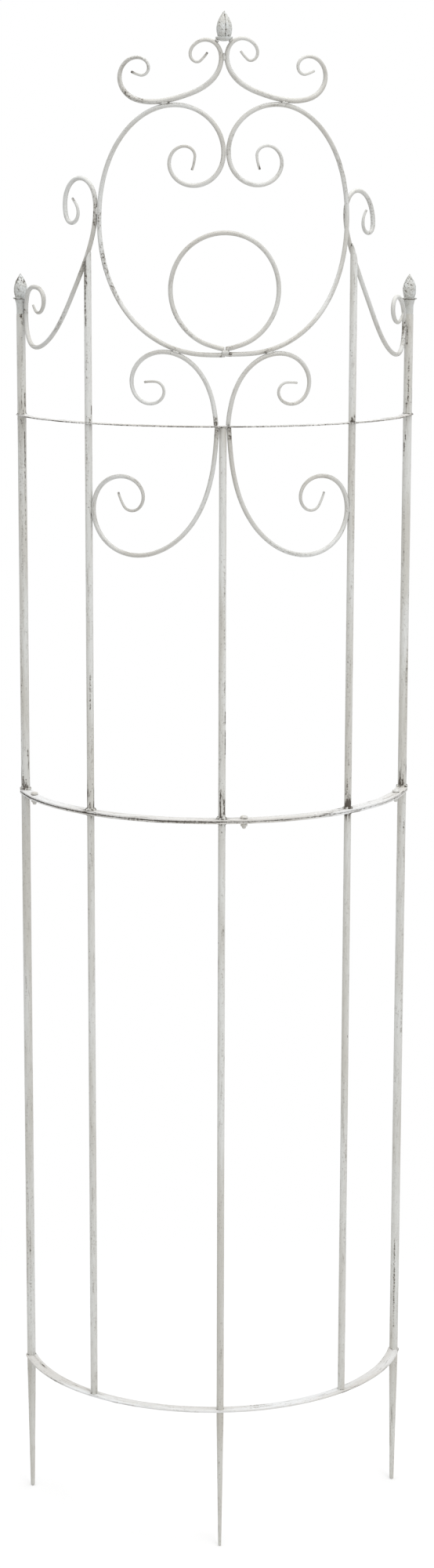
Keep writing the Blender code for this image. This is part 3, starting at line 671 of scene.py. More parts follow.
def sculpted_bud(node, leaves, knobs, base, belly_share, vein_depth, pitting, seed):
    """A bud with its leaves and knobs. Base is the core's width at its foot, as a share of the belly's."""
    low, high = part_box(node)
    centre = middle(node)
    belly = (high.x - low.x) / 2
    tall = high.z - low.z
    shape = bmesh.new()
    bmesh.ops.create_uvsphere(shape, u_segments=BUD_ROUND, v_segments=BUD_RINGS, radius=1.0)
    hollow = shape.verts.layers.float.new("hollow")
    for vert in shape.verts:
        down = math.acos(max(-1.0, min(1.0, vert.co.z))) / math.pi
        angle = math.atan2(vert.co.x, -vert.co.y)
        share = max(0.0, 1 - down / BASE_SHARE)
        inward = min(1.0, (1 - down) / (1 - BASE_SHARE)) if share == 0.0 else 1.0
        best, crease, vein = highest_leaf(leaves, angle, share, vein_depth)
        cell = Vector((math.sin(angle) * 5.5, math.cos(angle) * 5.5, share * 13 + seed))
        pit = noise.noise(cell) * pitting * min(1.0, max(0.15, 1.7 * share - 0.25))
        grain = 0.012 * noise.noise(Vector((angle * 5, share * 26, seed)))
        radius = (CORE + best + grain + 0.09 * pit) * bud_profile(share, base, belly_share)
        for at_angle, at_share, size, rise in knobs:
            away = math.hypot((angle - at_angle) * 0.9, (share - at_share) * tall / belly)
            radius += rise * math.exp(-((away / size) ** 2))
        radius = min(1.0, radius) * inward
        # Creases, veins and pits become painted shade through the stored hollow
        worst = max(crease, 12 * vein_depth * vein, 0.18 - 1.1 * pit)
        vert[hollow] = max(0.0, min(1.0, worst)) * inward
        vert.co = (radius * belly * math.sin(angle), -radius * belly * math.cos(angle), share * tall)
    uneven(shape, BUD_ROUGHNESS, BUD_GRAIN, seed)
    for vert in shape.verts:
        vert.co.z = min(tall, max(0.0, vert.co.z))
    bmesh.ops.translate(shape, verts=shape.verts[:], vec=(centre.x, centre.y, low.z))
    bmesh.ops.remove_doubles(shape, verts=shape.verts[:], dist=BUD_SEAM)
    return hand_over(shape, f"{node}_casting", "bud_paint", node)


# Each leaf: how far it stands out, then (the way it faces, half its width, its top, its lean)
TOP_BUD_LEAVES = (
    (0.17, (-0.80, 0.95, 1.7, 0.0)), (0.16, (0.66, 0.48, 1.7, 0.0)), (0.17, (1.72, 0.66, 1.7, 0.0)),
    (0.16, (2.78, 0.58, 1.7, 0.0)), (0.16, (-2.36, 0.72, 1.7, 0.0)),
)
LEFT_BUD_LEAVES = (
    (0.17, (0.10, 0.95, 1.2, 0.0)), (0.16, (2.0, 1.0, 1.2, 0.1)), (0.16, (-2.1, 1.0, 1.2, -0.1)),
    (0.20, (-0.75, 0.62, 0.72, 0.25)), (0.20, (0.80, 0.62, 0.66, -0.20)), (0.19, (2.5, 0.70, 0.70, 0.1)),
    (0.19, (-2.5, 0.70, 0.66, 0.1)), (0.22, (0.05, 0.52, 0.44, 0.1)), (0.20, (1.7, 0.55, 0.40, 0.0)),
    (0.20, (-1.6, 0.55, 0.42, 0.0)), (0.20, (3.1, 0.60, 0.44, 0.0)),
)
RIGHT_BUD_LEAVES = (
    (0.17, (-0.25, 1.00, 1.2, 0.1)), (0.17, (1.35, 0.70, 1.2, -0.1)), (0.16, (2.9, 1.0, 1.2, 0.0)),
    (0.16, (-1.9, 0.80, 1.2, 0.0)), (0.20, (-0.95, 0.55, 0.62, 0.2)), (0.20, (0.55, 0.52, 0.56, 0.1)),
    (0.20, (1.75, 0.55, 0.60, -0.1)), (0.20, (-2.4, 0.65, 0.60, 0.0)), (0.20, (2.7, 0.60, 0.60, 0.0)),
)
# Each knob: the way it faces, its height share, its size and how far it stands out
TOP_BUD_KNOBS = ((1.25, 0.30, 0.10, 0.05), (1.30, 0.48, 0.10, 0.05), (1.22, 0.62, 0.09, 0.04))
LEFT_BUD_KNOBS = ((-0.35, 0.62, 0.12, 0.08), (0.40, 0.52, 0.12, 0.07), (-1.2, 0.30, 0.13, 0.07))
RIGHT_BUD_KNOBS = (
    (0.05, 0.42, 0.13, 0.12), (1.20, 0.36, 0.12, 0.08), (1.22, 0.24, 0.12, 0.07), (1.15, 0.50, 0.10, 0.06),
)

top = {"base": 0.84, "belly_share": 0.30, "vein_depth": 0.024, "pitting": 0.35, "seed": 1.0}
left = {"base": 0.80, "belly_share": 0.36, "vein_depth": 0.022, "pitting": 1.0, "seed": 5.0}
right = {"base": 0.80, "belly_share": 0.34, "vein_depth": 0.026, "pitting": 0.85, "seed": 9.0}
sculpted_bud("bud_top", TOP_BUD_LEAVES, TOP_BUD_KNOBS, **top)
sculpted_bud("bud_left", LEFT_BUD_LEAVES, LEFT_BUD_KNOBS, **left)
sculpted_bud("bud_right", RIGHT_BUD_LEAVES, RIGHT_BUD_KNOBS, **right)
print("buds: 3 of", BUD_ROUND * BUD_RINGS, "faces each")

# %% [markdown]
# ## Where the rods are welded
# Wherever two bars touch there is a bead of weld, and beside it the paint is thin. The touching places aren't
# typed in: they are the places where two measured lines come closest. The same list later tells the paint
# where to wear through, and where to paint shade in the valleys between the bars.

# %% Find the touching places
weld_spots = []
wear_spots = []


def nearest_points(first, second):
    """The closest pair of points of two lines."""
    gaps = np.linalg.norm(first[:, None, :] - second[None, :, :], axis=2)
    i, j = np.unravel_index(gaps.argmin(), gaps.shape)
    return i, j, gaps[i, j]


def upright_line(node, gap=0.002):
    low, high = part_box(node)
    centre = middle(node)
    heights = np.arange(low.z, high.z, gap)
    return np.array([(centre.x, centre.y, height) for height in heights])


def touching(first_node, second_line, label):
    line = lines[first_node][0]
    i, j, gap = nearest_points(line, second_line)
    ahead = line[min(i + 1, len(line) - 1)] - line[max(i - 1, 0)]
    spot = Vector((line[i] + second_line[j]) / 2)
    weld_spots.append((spot, Vector(ahead).normalized(), label))
    print(label, "at", [round(value, 4) for value in spot], "gap", round(gap, 4))
    return spot


for kind in ("arch", "top_scroll"):
    touching(f"{kind}_left", lines[f"{kind}_right"][0], f"{kind}s")
for side in SIDES:
    touching(f"top_scroll_{side}", lines[f"arch_{side}"][0], f"top scroll on arch {side}")
    touching(f"upper_scroll_{side}", lines[f"arch_{side}"][0], f"arch on upper scroll {side}")
    touching(f"side_scroll_{side}", lines[f"arch_{side}"][0], f"side scroll on arch {side}")
    touching(f"side_scroll_{side}", upright_line(f"outer_post_top_{side}"), f"side scroll on post {side}")
    touching(f"side_scroll_{side}", upright_line(f"inner_post_top_{side}"), f"side scroll on post top {side}")
    touching(f"lower_scroll_{side}", upright_line(f"upper_post_inner_{side}"), f"lower scroll on post {side}")

# %% [markdown]
# ## Weld beads
# A bead is a small uneven lump that sits in the valley between two bars. Each one starts as a round ball of
# triangles, is roughened by noise, drawn out along the seam and set in the valley, once on the front and once
# on the back. Posts get a ring of smaller lumps round the foot. A lump has a lit side, where the paint stays
# light, and grows darker away from it, towards the valley and underneath: this darkening is painted shade.

# %% Lay the beads
LUMP_FINENESS = 2
SCROLL_SHIFTS = (-0.0014, 0.0003, 0.0017)
MEETING_SHIFTS = (-0.0018, 0.0002, 0.0019)
LONG_BEAD = 0.0036
SHORT_BEAD = 0.0027
# Wear beside a bead: how far along the seam, its reach, and how much weaker than the weld's own strength
BESIDE_WELD = ((0.004, 0.0050, 0.0), (-0.005, 0.0045, 0.05))
# Half of a lump's length along the seam, of its width and of its height
CUP_BEAD = (0.0027, 0.0021, 0.0013)
MEETING_BEAD = (0.0026, 0.0022, 0.0030)


def lump(shape, centre, ahead, sizes, seed, lit_side):
    """One uneven lump, of the given half sizes along the seam, across it and upward."""
    dirt_and_shade = shape.verts.layers.float.get("hollow") or shape.verts.layers.float.new("hollow")
    made = bmesh.ops.create_icosphere(shape, subdivisions=LUMP_FINENESS, radius=1.0)["verts"]
    for vert in made:
        rough = noise.noise(vert.co * 1.9 + Vector((seed * 3.1, seed, 0.0)))
        vert.co *= 1 + 0.30 * rough
    turn = ahead.to_track_quat("X", "Z").to_matrix().to_4x4()
    place = Matrix.Translation(centre) @ turn @ Matrix.Diagonal((*sizes, 1.0))
    bmesh.ops.transform(shape, matrix=place, verts=made)
    # Painted shade: corners that face away from the lit side are stored darker
    for vert in made:
        facing = (vert.co - centre).normalized().dot(lit_side)
        vert[dirt_and_shade] = max(0.0, min(1.0, 0.55 - 0.9 * facing))


def outward_at(point):
    """Straight away from the axis of the plan."""
    return Vector((point.x, point.y - PLAN_AXIS.y, 0.0)).normalized()


def by_weld(label, on_post, on_side_scroll, elsewhere):
    """The number for a weld on a post, for one on a side scroll or for any other."""
    return on_post if "post" in label else on_side_scroll if "side" in label else elsewhere


scroll_beads = bmesh.new()
for number, (spot, ahead, label) in enumerate(weld_spots):
    outward = outward_at(spot)
    longer = LONG_BEAD if "post" in label else SHORT_BEAD
    for face in (1, -1):
        for shift in SCROLL_SHIFTS:
            seat = spot + outward * face * (0.0011 + 0.1 * abs(shift)) + ahead * shift
            sizes = (longer * (1 + 80 * shift), 0.0018, 0.0015 - 0.15 * shift)
            lump(scroll_beads, seat, ahead, sizes, number * 2.0 + face + shift * 900, outward * face)
    strength = by_weld(label, 0.45, 0.60, 0.75)
    wear_spots += [(spot + ahead * shift, reach, strength - weaker) for shift, reach, weaker in BESIDE_WELD]

# %% Lay the beads at the top cup and where the ring meets the arches
cup_rim = np.array([tuple(vert.co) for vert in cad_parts["top_cup"].data.vertices])
for number, side in enumerate(SIDES):
    line, radii, along = lines[f"top_scroll_{side}"]
    i, j, gap = nearest_points(line, cup_rim)
    toward = (cup_rim[j] - line[i]) / gap
    seat = Vector(line[i] + toward * (radii[i] + gap) / 2)
    ahead = Vector(line[i + 2] - line[i - 2]).normalized()
    for depth in (0.0012, -0.0012):
        lit_way = Vector((0.0, math.copysign(0.6, depth), 0.0))
        lump(scroll_beads, seat + Vector((0.0, depth, 0.0)), ahead, CUP_BEAD, number + depth * 900, lit_way)
    print("top cup to scroll", side, "gap", round(gap - radii[i], 5))
ends = [Vector(lines[node][0][-1]) for node in ("arch_left", "arch_right", "centre_ring")]
ends.append(Vector(lines["centre_ring"][0][0]))
meeting = sum(ends, Vector()) / len(ends)
for shift in MEETING_SHIFTS:
    for depth in (0.0016, -0.0016):
        seat = meeting + Vector((shift, depth, -0.0006 - 0.2 * abs(shift)))
        lit_way = Vector((-0.3, math.copysign(0.7, depth), 0.3))
        seed = 40 + shift * 900 + depth * 500
        lump(scroll_beads, seat, Vector((1.0, 0.0, 0.1)), MEETING_BEAD, seed, lit_way)
print("ring and arches meet at", [round(value, 4) for value in meeting])
hand_over(scroll_beads, "scroll_weld_beads", "scroll_paint")


# %% Lay the beads round the posts
def foot_beads(shape, node, level, lumps, size, up, seed):
    """A ring of lumps where a post meets a flat bar."""
    centre, radius = ring_at(node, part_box(node)[1].z)
    centre.z = level
    for number in range(lumps):
        angle = math.tau * (number + 0.35 * math.sin(seed + number * 2.3)) / lumps
        outward = Vector((math.cos(angle), math.sin(angle), 0.0))
        along = Vector((-outward.y, outward.x, 0.0))
        swell = 1 + 0.35 * math.sin(seed * 1.7 + number * 2.9)
        rise = Vector((0.0, 0.0, up))
        seat = centre + outward * (radius + 0.1 * size) + rise * 0.25 * size
        sizes = (1.5 * size * swell, 0.75 * size, 0.75 * size * swell)
        lit_way = (outward + Vector((0.0, 0.0, 0.4))).normalized() * (1.0 if up > 0 else 3.0)
        lump(shape, seat, along, sizes, seed + number, lit_way)


post_beads = bmesh.new()
joint_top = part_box("upper_joint_hoop")[1].z
joint_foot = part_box("lower_joint_hoop")[0].z
bottom_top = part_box("bottom_hoop")[1].z
bottom_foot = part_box("bottom_hoop")[0].z
top_hoop_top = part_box("top_hoop")[1].z
top_hoop_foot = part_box("top_hoop")[0].z
columns = ["centre"] + [f"{ring}_{side}" for ring in ("inner", "outer") for side in SIDES]
# In each call: post, level, number of lumps, their size, 1 for above the level or -1 for below it, seed
for number, column in enumerate(columns):
    foot_beads(post_beads, f"upper_post_{column}", joint_top, 8, 0.0025, 1, number * 3.0)
    foot_beads(post_beads, f"lower_post_{column}", joint_foot, 6, 0.0018, -1, number * 5.0 + 1)
    foot_beads(post_beads, f"lower_post_{column}", bottom_top, 7, 0.0013, 1, number * 2.0 + 2)
    foot_beads(post_beads, f"upper_post_{column}", top_hoop_foot, 5, 0.0010, -1, number * 4.0 + 3)
for side in SIDES:
    foot_beads(post_beads, f"outer_post_top_{side}", top_hoop_top, 6, 0.0013, 1, 4.0)
    foot_beads(post_beads, f"spike_{side}", bottom_foot, 6, 0.0012, -1, 6.0)
foot_beads(post_beads, "spike_centre", bottom_foot, 6, 0.0011, -1, 8.0)
hand_over(post_beads, "post_weld_beads", "post_paint")
print("scroll welds:", len(weld_spots), "post columns:", len(columns))

# %% [markdown]
# ## Where the paint wears
# Paint wears at the welds, at the foot of every upper post, on the tips of the curls and along the edges of
# the flat bars. Each of these places is a spot with a reach and a strength. Every corner of every piece
# stores the strongest wear that reaches it, and the paint reads that number.

# %% List the worn places
ROD_END_REACH = 0.0045
ROD_END_WEAR = 0.85


def worn_foot(node, level, reach, strength, way=1):
    """Wear round a post where it meets a flat bar, a little above the level or, with way -1, below it."""
    centre = middle(node)
    wear_spots.append((Vector((centre.x, centre.y, level + way * 0.2 * reach)), reach, strength))


# In each call: post, level, reach, strength
for column in columns:
    worn_foot(f"upper_post_{column}", joint_top, 0.016, 1.0)
    worn_foot(f"upper_post_{column}", joint_top + 0.014, 0.024, 0.72)
    worn_foot(f"lower_post_{column}", bottom_top, 0.007, 0.62)
    worn_foot(f"lower_post_{column}", joint_foot, 0.004, 0.15, -1)
    worn_foot(f"upper_post_{column}", top_hoop_foot, 0.006, 0.5, -1)
for side in SIDES:
    worn_foot(f"outer_post_top_{side}", top_hoop_top, 0.016, 0.75)
    worn_foot(f"inner_post_top_{side}", top_hoop_top, 0.008, 0.6)
for node in rod_nodes[1:]:
    line = lines[node][0]
    wear_spots += [(Vector(end), ROD_END_REACH, ROD_END_WEAR) for end in (line[0], line[-1])]
print("worn places:", len(wear_spots))

# %% Store the wear on every piece
EDGE_WEAR = 0.42
EDGE_BAND = 0.0012


def read_numbers(data, name, width):
    """The numbers that a mesh keeps for its corners, one row for each corner."""
    flat = np.empty(len(data) * width, np.float32)
    data.foreach_get(name, flat)
    return flat.reshape(-1, width)


def store(piece, name, values):
    """Keeps one number for each corner of a piece."""
    stored = piece.data.attributes.new(name, "FLOAT", "POINT")
    stored.data.foreach_set("value", values.astype(np.float32))


def reach_of(corners):
    """How far each corner lies from the axis of the plan."""
    return np.hypot(corners[:, 0], corners[:, 1] - PLAN_AXIS.y)


def hoop_edge_wear(corners):
    """The flat bars wear along their outer and inner edges."""
    off_middle = np.abs(reach_of(corners) - PLAN_RADIUS)
    return EDGE_WEAR * np.clip((off_middle - off_middle.max() + EDGE_BAND) / EDGE_BAND, 0.0, 1.0)


for piece, slot, node in pieces:
    corners = read_numbers(piece.data.vertices, "co", 3)
    wear = hoop_edge_wear(corners) if slot == "hoop_paint" else np.zeros(len(corners))
    for spot, reach, strength in wear_spots:
        away = np.linalg.norm(corners - np.array(spot, np.float32), axis=1) / reach
        wear = np.maximum(wear, strength * np.exp(-(away ** 2)))
    store(piece, "wear", wear)
print("pieces with wear stored:", len(pieces))

# %% [markdown]
# ## Where the dirt stays and where shade is painted
# Wear is light and broken, but some places are plainly dark. The gap between the two joint hoops, the creases
# of the buds and of the weld beads, the valleys beside the welds, the undersides of the bolt heads and the
# collar rims get painted shade, and the lower joint hoop's outer face is darker towards its left. The stained
# outer edge of the top hoop, a scratch on the bottom hoop and the long rubs that the ties of climbing plants
# leave on a post and along the rods are dirt. They get a second number. A rub is given by its post, the way
# it faces and how far it reaches above the joint.

# %% List the rubs on the posts
# For each post: degrees to the right of straight front, half the width in degrees, foot and top in mm above
# the joint, strength
POST_RUBS = {
    "centre": (
        (-27, 15, 15, 35, 1), (35, 17, 4, 24, 1), (62, 14, 76, 106, 0.8), (60, 14, 113, 131, 0.75),
        (40, 12, 135, 176, 0.5), (34, 14, 180, 306, 0.3), (-50, 12, 43, 125, 0.26),
        (20, 12, -305, -125, 0.18),
    ),
    "inner_left": (
        (-14, 15, -5, 11, 0.8), (0, 12, 121, 164, 0.62), (60, 14, 354, 372, 0.66),
        (-46, 19, 587, 659, 0.74), (-18, 12, 617, 640, 0.6), (-36, 13, 571, 592, 0.8),
        (56, 12, 467, 483, 0.8), (20, 18, 459, 469, 0.62), (-30, 16, 612, 634, 0.45),
        (-40, 13, 363, 452, 0.26), (30, 13, 22, 106, 0.28), (-20, 12, 488, 559, 0.24),
    ),
    "inner_right": (
        (-18, 14, -5, 38, 0.8), (-35, 15, -5, 4, 0.85), (14, 9, -5, 5, 0.8), (-60, 14, 346, 376, 0.72),
        (-8, 24, 461, 467, 1), (36, 12, 461, 471, 0.7), (52, 11, 552, 578, 0.42), (12, 10, 608, 633, 0.42),
        (45, 13, 262, 380, 0.26), (0, 12, 48, 132, 0.28), (-30, 12, 142, 225, 0.22),
        (30, 12, -553, -414, 0.18),
    ),
    "outer_right": (
        (0, 17, -5, 11, 1), (5, 12, 7, 19, 0.6), (-24, 10, 544, 567, 0.62), (2, 13, 510, 534, 0.62),
        (-3, 13, 477, 507, 0.66), (-22, 12, 469, 479, 0.6), (-50, 12, 409, 430, 0.92),
        (-30, 10, 430, 438, 0.75), (30, 11, -60, -41, 0.62), (40, 12, 46, 175, 0.24),
        (35, 12, -332, -236, 0.26), (-30, 12, 221, 356, 0.24), (-12, 10, -712, -590, 0.56),
    ),
    "outer_left": (
        (-34, 18, 1, 17, 1), (38, 12, 40, 50, 0.55), (40, 9, 383, 441, 0.85), (40, 9, 306, 383, 0.46),
        (4, 20, 576, 582, 1), (22, 14, 566, 577, 0.6), (47, 11, 469, 489, 0.9), (4, 20, 445, 459, 0.5),
        (-10, 16, 211, 439, 0.26), (-55, 12, 56, 211, 0.24), (10, 14, 492, 558, 0.24),
        (0, 10, -700, -570, 0.36), (-40, 12, -611, -474, 0.18),
    ),
}


def fading(values, start, end, soft_start, soft_end):
    """1 between start and end, and a fade to 0 at both."""
    rise = np.clip((values - start) / soft_start + 0.5, 0, 1)
    return rise * np.clip((end - values) / soft_end + 0.5, 0, 1)


def rub_marks(corners, centre, facing, half_width, foot, top):
    """1 in the middle of a rub, and fading at its sides and ends."""
    angle = np.degrees(np.arctan2(corners[:, 0] - centre.x, centre.y - corners[:, 1]))
    across = (angle - facing) / half_width
    return np.exp(-(across ** 2)) * fading((corners[:, 2] - joint_top) * 1000, foot, top, 3, 4)


def column_of(node):
    """The post column that a bar belongs to, such as inner_left."""
    return node.replace("_post_top_", "_").removeprefix("lower_post_").removeprefix("upper_post_")


print("rubs on the posts:", sum(len(rubs) for rubs in POST_RUBS.values()))

# %% List the rubs along the rods
# For each rod: from and to in mm along it, strength
ROD_RUBS = {
    "side_scroll_left": (
        (392, 418, 0.42), (418, 440, 0.26), (330, 350, 0.3), (128, 136, 0.45), (250, 300, 0.18),
        (560, 570, 0.25),
    ),
    "arch_left": ((410, 430, 0.3), (446, 520, 0.2), (457, 485, 0.35), (497, 518, 0.31), (658, 664, 0.4)),
    "arch_right": ((350, 392, 0.24), (656, 664, 0.65), (156, 172, 0.28)),
    "side_scroll_right": ((400, 426, 0.36), (460, 500, 0.24), (185, 240, 0.16), (128, 166, 0.32)),
    "top_scroll_left": ((96, 126, 0.36), (-2, 6, 0.45), (314, 322, 0.25), (20, 60, 0.16)),
    "centre_ring": ((320, 360, 0.2), (0, 8, 0.35)),
    "upper_scroll_left": ((0, 12, 0.36),),
    "lower_scroll_right": ((0, 14, 0.38),),
    "lower_scroll_left": ((426, 438, 0.38),),
}


def along_rod(piece, number):
    """How far along its rod each corner lies, in mm."""
    place = read_numbers(piece.data.attributes["place"].data, "vector", 3)
    return (place[:, 2] - number * ROD_APART) * 1000


print("rubs along the rods:", sum(len(rubs) for rubs in ROD_RUBS.values()))

# %% Shape the dirt and the painted shade of each kind of place
VALLEY_REACH = 0.0021
# Strength of the painted shade under a bolt head
HEAD_SHADE = 0.9
TOP_HOOP_STAIN = 0.52
OUTER_FACE = 0.0003
OUTER_EDGE = 0.0004


def bump_at(values, centre, width):
    """1 at the centre, and a soft fade on both sides."""
    return np.exp(-(((values - centre) / width) ** 2))


def valley_shade(corners, own):
    """Painted shade where a corner of a rod lies close to the surface of another rod or post."""
    dirt_and_shade = np.zeros(len(corners))
    for spot, ahead, label in weld_spots:
        outside = np.linalg.norm(corners - np.array(spot), axis=1) - 0.35 * lines[own][1].max()
        near = bump_at(outside, 0.0, VALLEY_REACH) * (outside < 2.2 * VALLEY_REACH)
        dirt_and_shade = np.maximum(dirt_and_shade, by_weld(label, 0.45, 0.58, 0.72) * near)
    return dirt_and_shade


def gap_shade(corners):
    """Painted shade where the joint hoops face each other, stronger on the left, and the lower hoop's outer
    face darker towards its left.
    """
    level = (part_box("lower_joint_hoop")[1].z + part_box("upper_joint_hoop")[0].z) / 2
    reach = reach_of(corners)
    face = (reach > reach.max() - OUTER_FACE) & (corners[:, 2] < level - 0.0008)
    left_face_darkening = 0.40 * bump_at(corners[:, 0], -0.06, 0.10) * face
    strength = 0.70 - 0.24 * np.tanh((corners[:, 0] - 0.03) / 0.05)
    return np.maximum(strength * bump_at(corners[:, 2], level, 0.0009), left_face_darkening)


def scratch_dirt(corners):
    """One scratch on the bottom hoop's inner edge, a little right of the middle."""
    reach = reach_of(corners)
    return 0.6 * bump_at(corners[:, 0], 0.047, 0.012) * (reach < reach.min() + 0.0010)


def edge_dirt(corners):
    """The stained outer edge of the top hoop."""
    reach = reach_of(corners)
    return TOP_HOOP_STAIN * (reach > reach.max() - OUTER_EDGE)


def collar_rim_shade(corners, node):
    """Painted shade round the rim of a collar and below it."""
    low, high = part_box(node)
    return bump_at((corners[:, 2] - low.z) / (high.z - low.z), 0.84, 0.09)


def head_shade(corners):
    """Painted shade under the head of a bolt."""
    return HEAD_SHADE * (np.abs(corners[:, 2] - joint_top - 0.0003) < 0.0004)


# %% Store the dirt and the painted shade on every piece
# Painted shade in the hoop gap, under bolt heads and collar rims, in bud and bead creases and in rod valleys;
# real stains, a scratch and rubs elsewhere
def dirt_and_shade_on(piece, node, corners):
    if node.endswith("joint_hoop"):
        return gap_shade(corners)
    if node == "top_hoop":
        return edge_dirt(corners)
    if node == "bottom_hoop":
        return scratch_dirt(corners)
    if node.startswith("bolt"):
        return head_shade(corners)
    if node.startswith("collar"):
        return collar_rim_shade(corners, node)
    if "hollow" in piece.data.attributes:
        return read_numbers(piece.data.attributes["hollow"].data, "value", 1)[:, 0]
    if node in lines:
        dirt_and_shade = valley_shade(corners, node)
        along = along_rod(piece, rod_nodes.index(node))
        for start, end, strength in ROD_RUBS.get(node, ()):
            dirt_and_shade = np.maximum(dirt_and_shade, strength * fading(along, start, end, 4, 4))
        return dirt_and_shade
    dirt_and_shade = np.zeros(len(corners))
    for facing, half_width, foot, top, strength in POST_RUBS.get(column_of(node), ()):
        marks = rub_marks(corners, middle(node), facing, half_width, foot, top)
        dirt_and_shade = np.maximum(dirt_and_shade, strength * marks)
    return dirt_and_shade


for piece, slot, node in pieces:
    corners = read_numbers(piece.data.vertices, "co", 3)
    store(piece, "grime_and_shade", dirt_and_shade_on(piece, node, corners))
print("pieces with dirt stored:", len(pieces))

# %% [markdown]
# ## Worn paint as a node group
# All pieces share one finish: white paint, streaked with a thin brown glaze and rubbed through to dark steel,
# and the same glaze and steel colours also paint the shade in gaps, creases and valleys. The group takes a
# place on the piece, the stored wear, the stored dirt with its painted shade, three colours and three
# amounts. It mixes seven patterns: broad tone, long fine streaks, rubbed patches, chips, larger patches that
# gather the chips, a speckle that breaks up the dirt and the painted shade, and the grain of the steel. The
# first four are drawn out along the bar, which is the third number of the place. It gives back a colour, a
# roughness and a height, and the shader stays outside.

# %% Build the group
group = bpy.data.node_groups.new("worn_paint", "ShaderNodeTree")
GROUP_INPUTS = {
    "Place": "Vector", "Wear": "Float", "Paint": "Color", "Glaze and shade": "Color", "Steel and shade": "Color",
    "Streaks": "Float", "Chips": "Float", "Stretch": "Float", "Grime and shade": "Float",
}
GROUP_OUTPUTS = {"Colour": "Color", "Roughness": "Float", "Height": "Float"}
for in_out, sockets in (("INPUT", GROUP_INPUTS), ("OUTPUT", GROUP_OUTPUTS)):
    for name, kind in sockets.items():
        group.interface.new_socket(name, in_out=in_out, socket_type=f"NodeSocket{kind}")


def put(tree, kind, **settings):
    """Adds a node. A setting that names a socket fills it, and any other sets a property."""
    node = tree.nodes.new(kind)
    for key, value in settings.items():
        socket = node.inputs.get(key.replace("_", " ")) if key[0].isupper() else None
        if socket is None:
            setattr(node, key, value)
        else:
            socket.default_value = value
    return node


def feed(tree, sockets, *values):
    """Fills sockets in their order: a number or colour is set, and another node's output is joined."""
    for socket, value in zip(sockets, values):
        if isinstance(value, (int, float, tuple)):
            socket.default_value = value
        else:
            tree.links.new(value, socket)


def maths(tree, operation, *values):
    """A maths node whose inputs are numbers or sockets."""
    node = put(tree, "ShaderNodeMath", operation=operation)
    feed(tree, node.inputs, *values)
    return node.outputs[0]


def step_between(tree, value, low, high):
    """0 below low, 1 above high, and a soft step between them."""
    node = put(tree, "ShaderNodeMapRange", interpolation_type="SMOOTHSTEP")
    feed(tree, node.inputs, value, low, high)
    return node.outputs["Result"]


def blend_colours(tree, amount, first, second, kind="MIX"):
    node = put(tree, "ShaderNodeMix", data_type="RGBA", blend_type=kind)
    feed(tree, (node.inputs[0], node.inputs[6], node.inputs[7]), amount, first, second)
    return node.outputs[2]


def drawn_out(tree, place, along):
    """The place with its third number scaled, so that patterns stretch along the bar."""
    stretch = put(tree, "ShaderNodeCombineXYZ")
    feed(tree, stretch.inputs, 1.0, 1.0, along)
    product = put(tree, "ShaderNodeVectorMath", operation="MULTIPLY")
    feed(tree, product.inputs, place, stretch.outputs[0])
    return product.outputs[0]


def pattern(place, scale, detail, roughness=0.55):
    """Noise in the group, of a given number of cells to the metre."""
    node = put(group, "ShaderNodeTexNoise", Scale=scale, Detail=detail, Roughness=roughness)
    feed(group, [node.inputs["Vector"]], place)
    return node.outputs["Fac"]


def times(first, second, then=0.0):
    """First times second, plus a third number or socket."""
    return maths(group, "MULTIPLY_ADD", first, second, then)


given = group.nodes.new("NodeGroupInput").outputs
long_place = drawn_out(group, given["Place"], given["Stretch"])
chip_place = drawn_out(group, given["Place"], times(given["Stretch"], 0.6, 0.35))
broad = pattern(long_place, 55.0, 3.0)
fine = pattern(long_place, 620.0, 4.0, 0.62)
rubbed = pattern(long_place, 260.0, 5.0, 0.65)
chips = pattern(chip_place, 520.0, 4.0, 0.6)
patches = pattern(given["Place"], 22.0, 2.0)
speckle = pattern(given["Place"], 430.0, 2.0)
grain = pattern(given["Place"], 2600.0, 3.0)
print("patterns in the paint: broad, fine, rubbed, chips, patches, speckle, grain")

# %% Mix the layers of the finish
# Where each soft step starts and ends
TONE_STEP = (0.36, 0.66)
STREAK_STEP = (0.50, 0.72)
HALO_STEP = (0.56, 0.74)
RUB_STEP = (0.705, 0.755)
CHIP_STEP = (0.715, 0.75)
DIRT_AND_SHADE_STEP = (0.46, 0.72)
SMUDGE_AND_SHADE_STEP = (0.08, 0.62)
RUST_STEP = (0.42, 0.62)
PALE_TINT = (1.10, 1.11, 1.12, 1.0)
WARM_TINT = (0.90, 0.88, 0.845, 1.0)
RUST = (0.11, 0.085, 0.06, 1.0)
HALO_AMOUNT = 0.55
SMUDGE_AND_SHADE_AMOUNT = 0.62
BARE_DIRT_AND_SHADE_AMOUNT = 0.92


def soft_step(value, ends):
    return step_between(group, value, *ends)


pale = blend_colours(group, 1.0, given["Paint"], PALE_TINT, "MULTIPLY")
tinted = blend_colours(group, 1.0, given["Paint"], WARM_TINT, "MULTIPLY")
ground = blend_colours(group, soft_step(broad, TONE_STEP), tinted, pale)
streak_amount = times(soft_step(fine, STREAK_STEP), given["Streaks"])
streaked = blend_colours(group, streak_amount, ground, given["Glaze and shade"])
halo = times(soft_step(times(given["Wear"], 0.16, rubbed), HALO_STEP), HALO_AMOUNT)
glazed = blend_colours(group, halo, streaked, given["Glaze and shade"])
rub_mask = soft_step(times(given["Wear"], 0.245, rubbed), RUB_STEP)
chip_sum = times(maths(group, "SUBTRACT", patches, 0.5), 0.22, chips)
chip_sum = times(given["Wear"], 0.10, times(given["Chips"], 0.1, chip_sum))
chip_mask = soft_step(chip_sum, CHIP_STEP)
broken = times(rubbed, 1.1, times(chips, 0.8, times(speckle, 1.5, -1.70)))
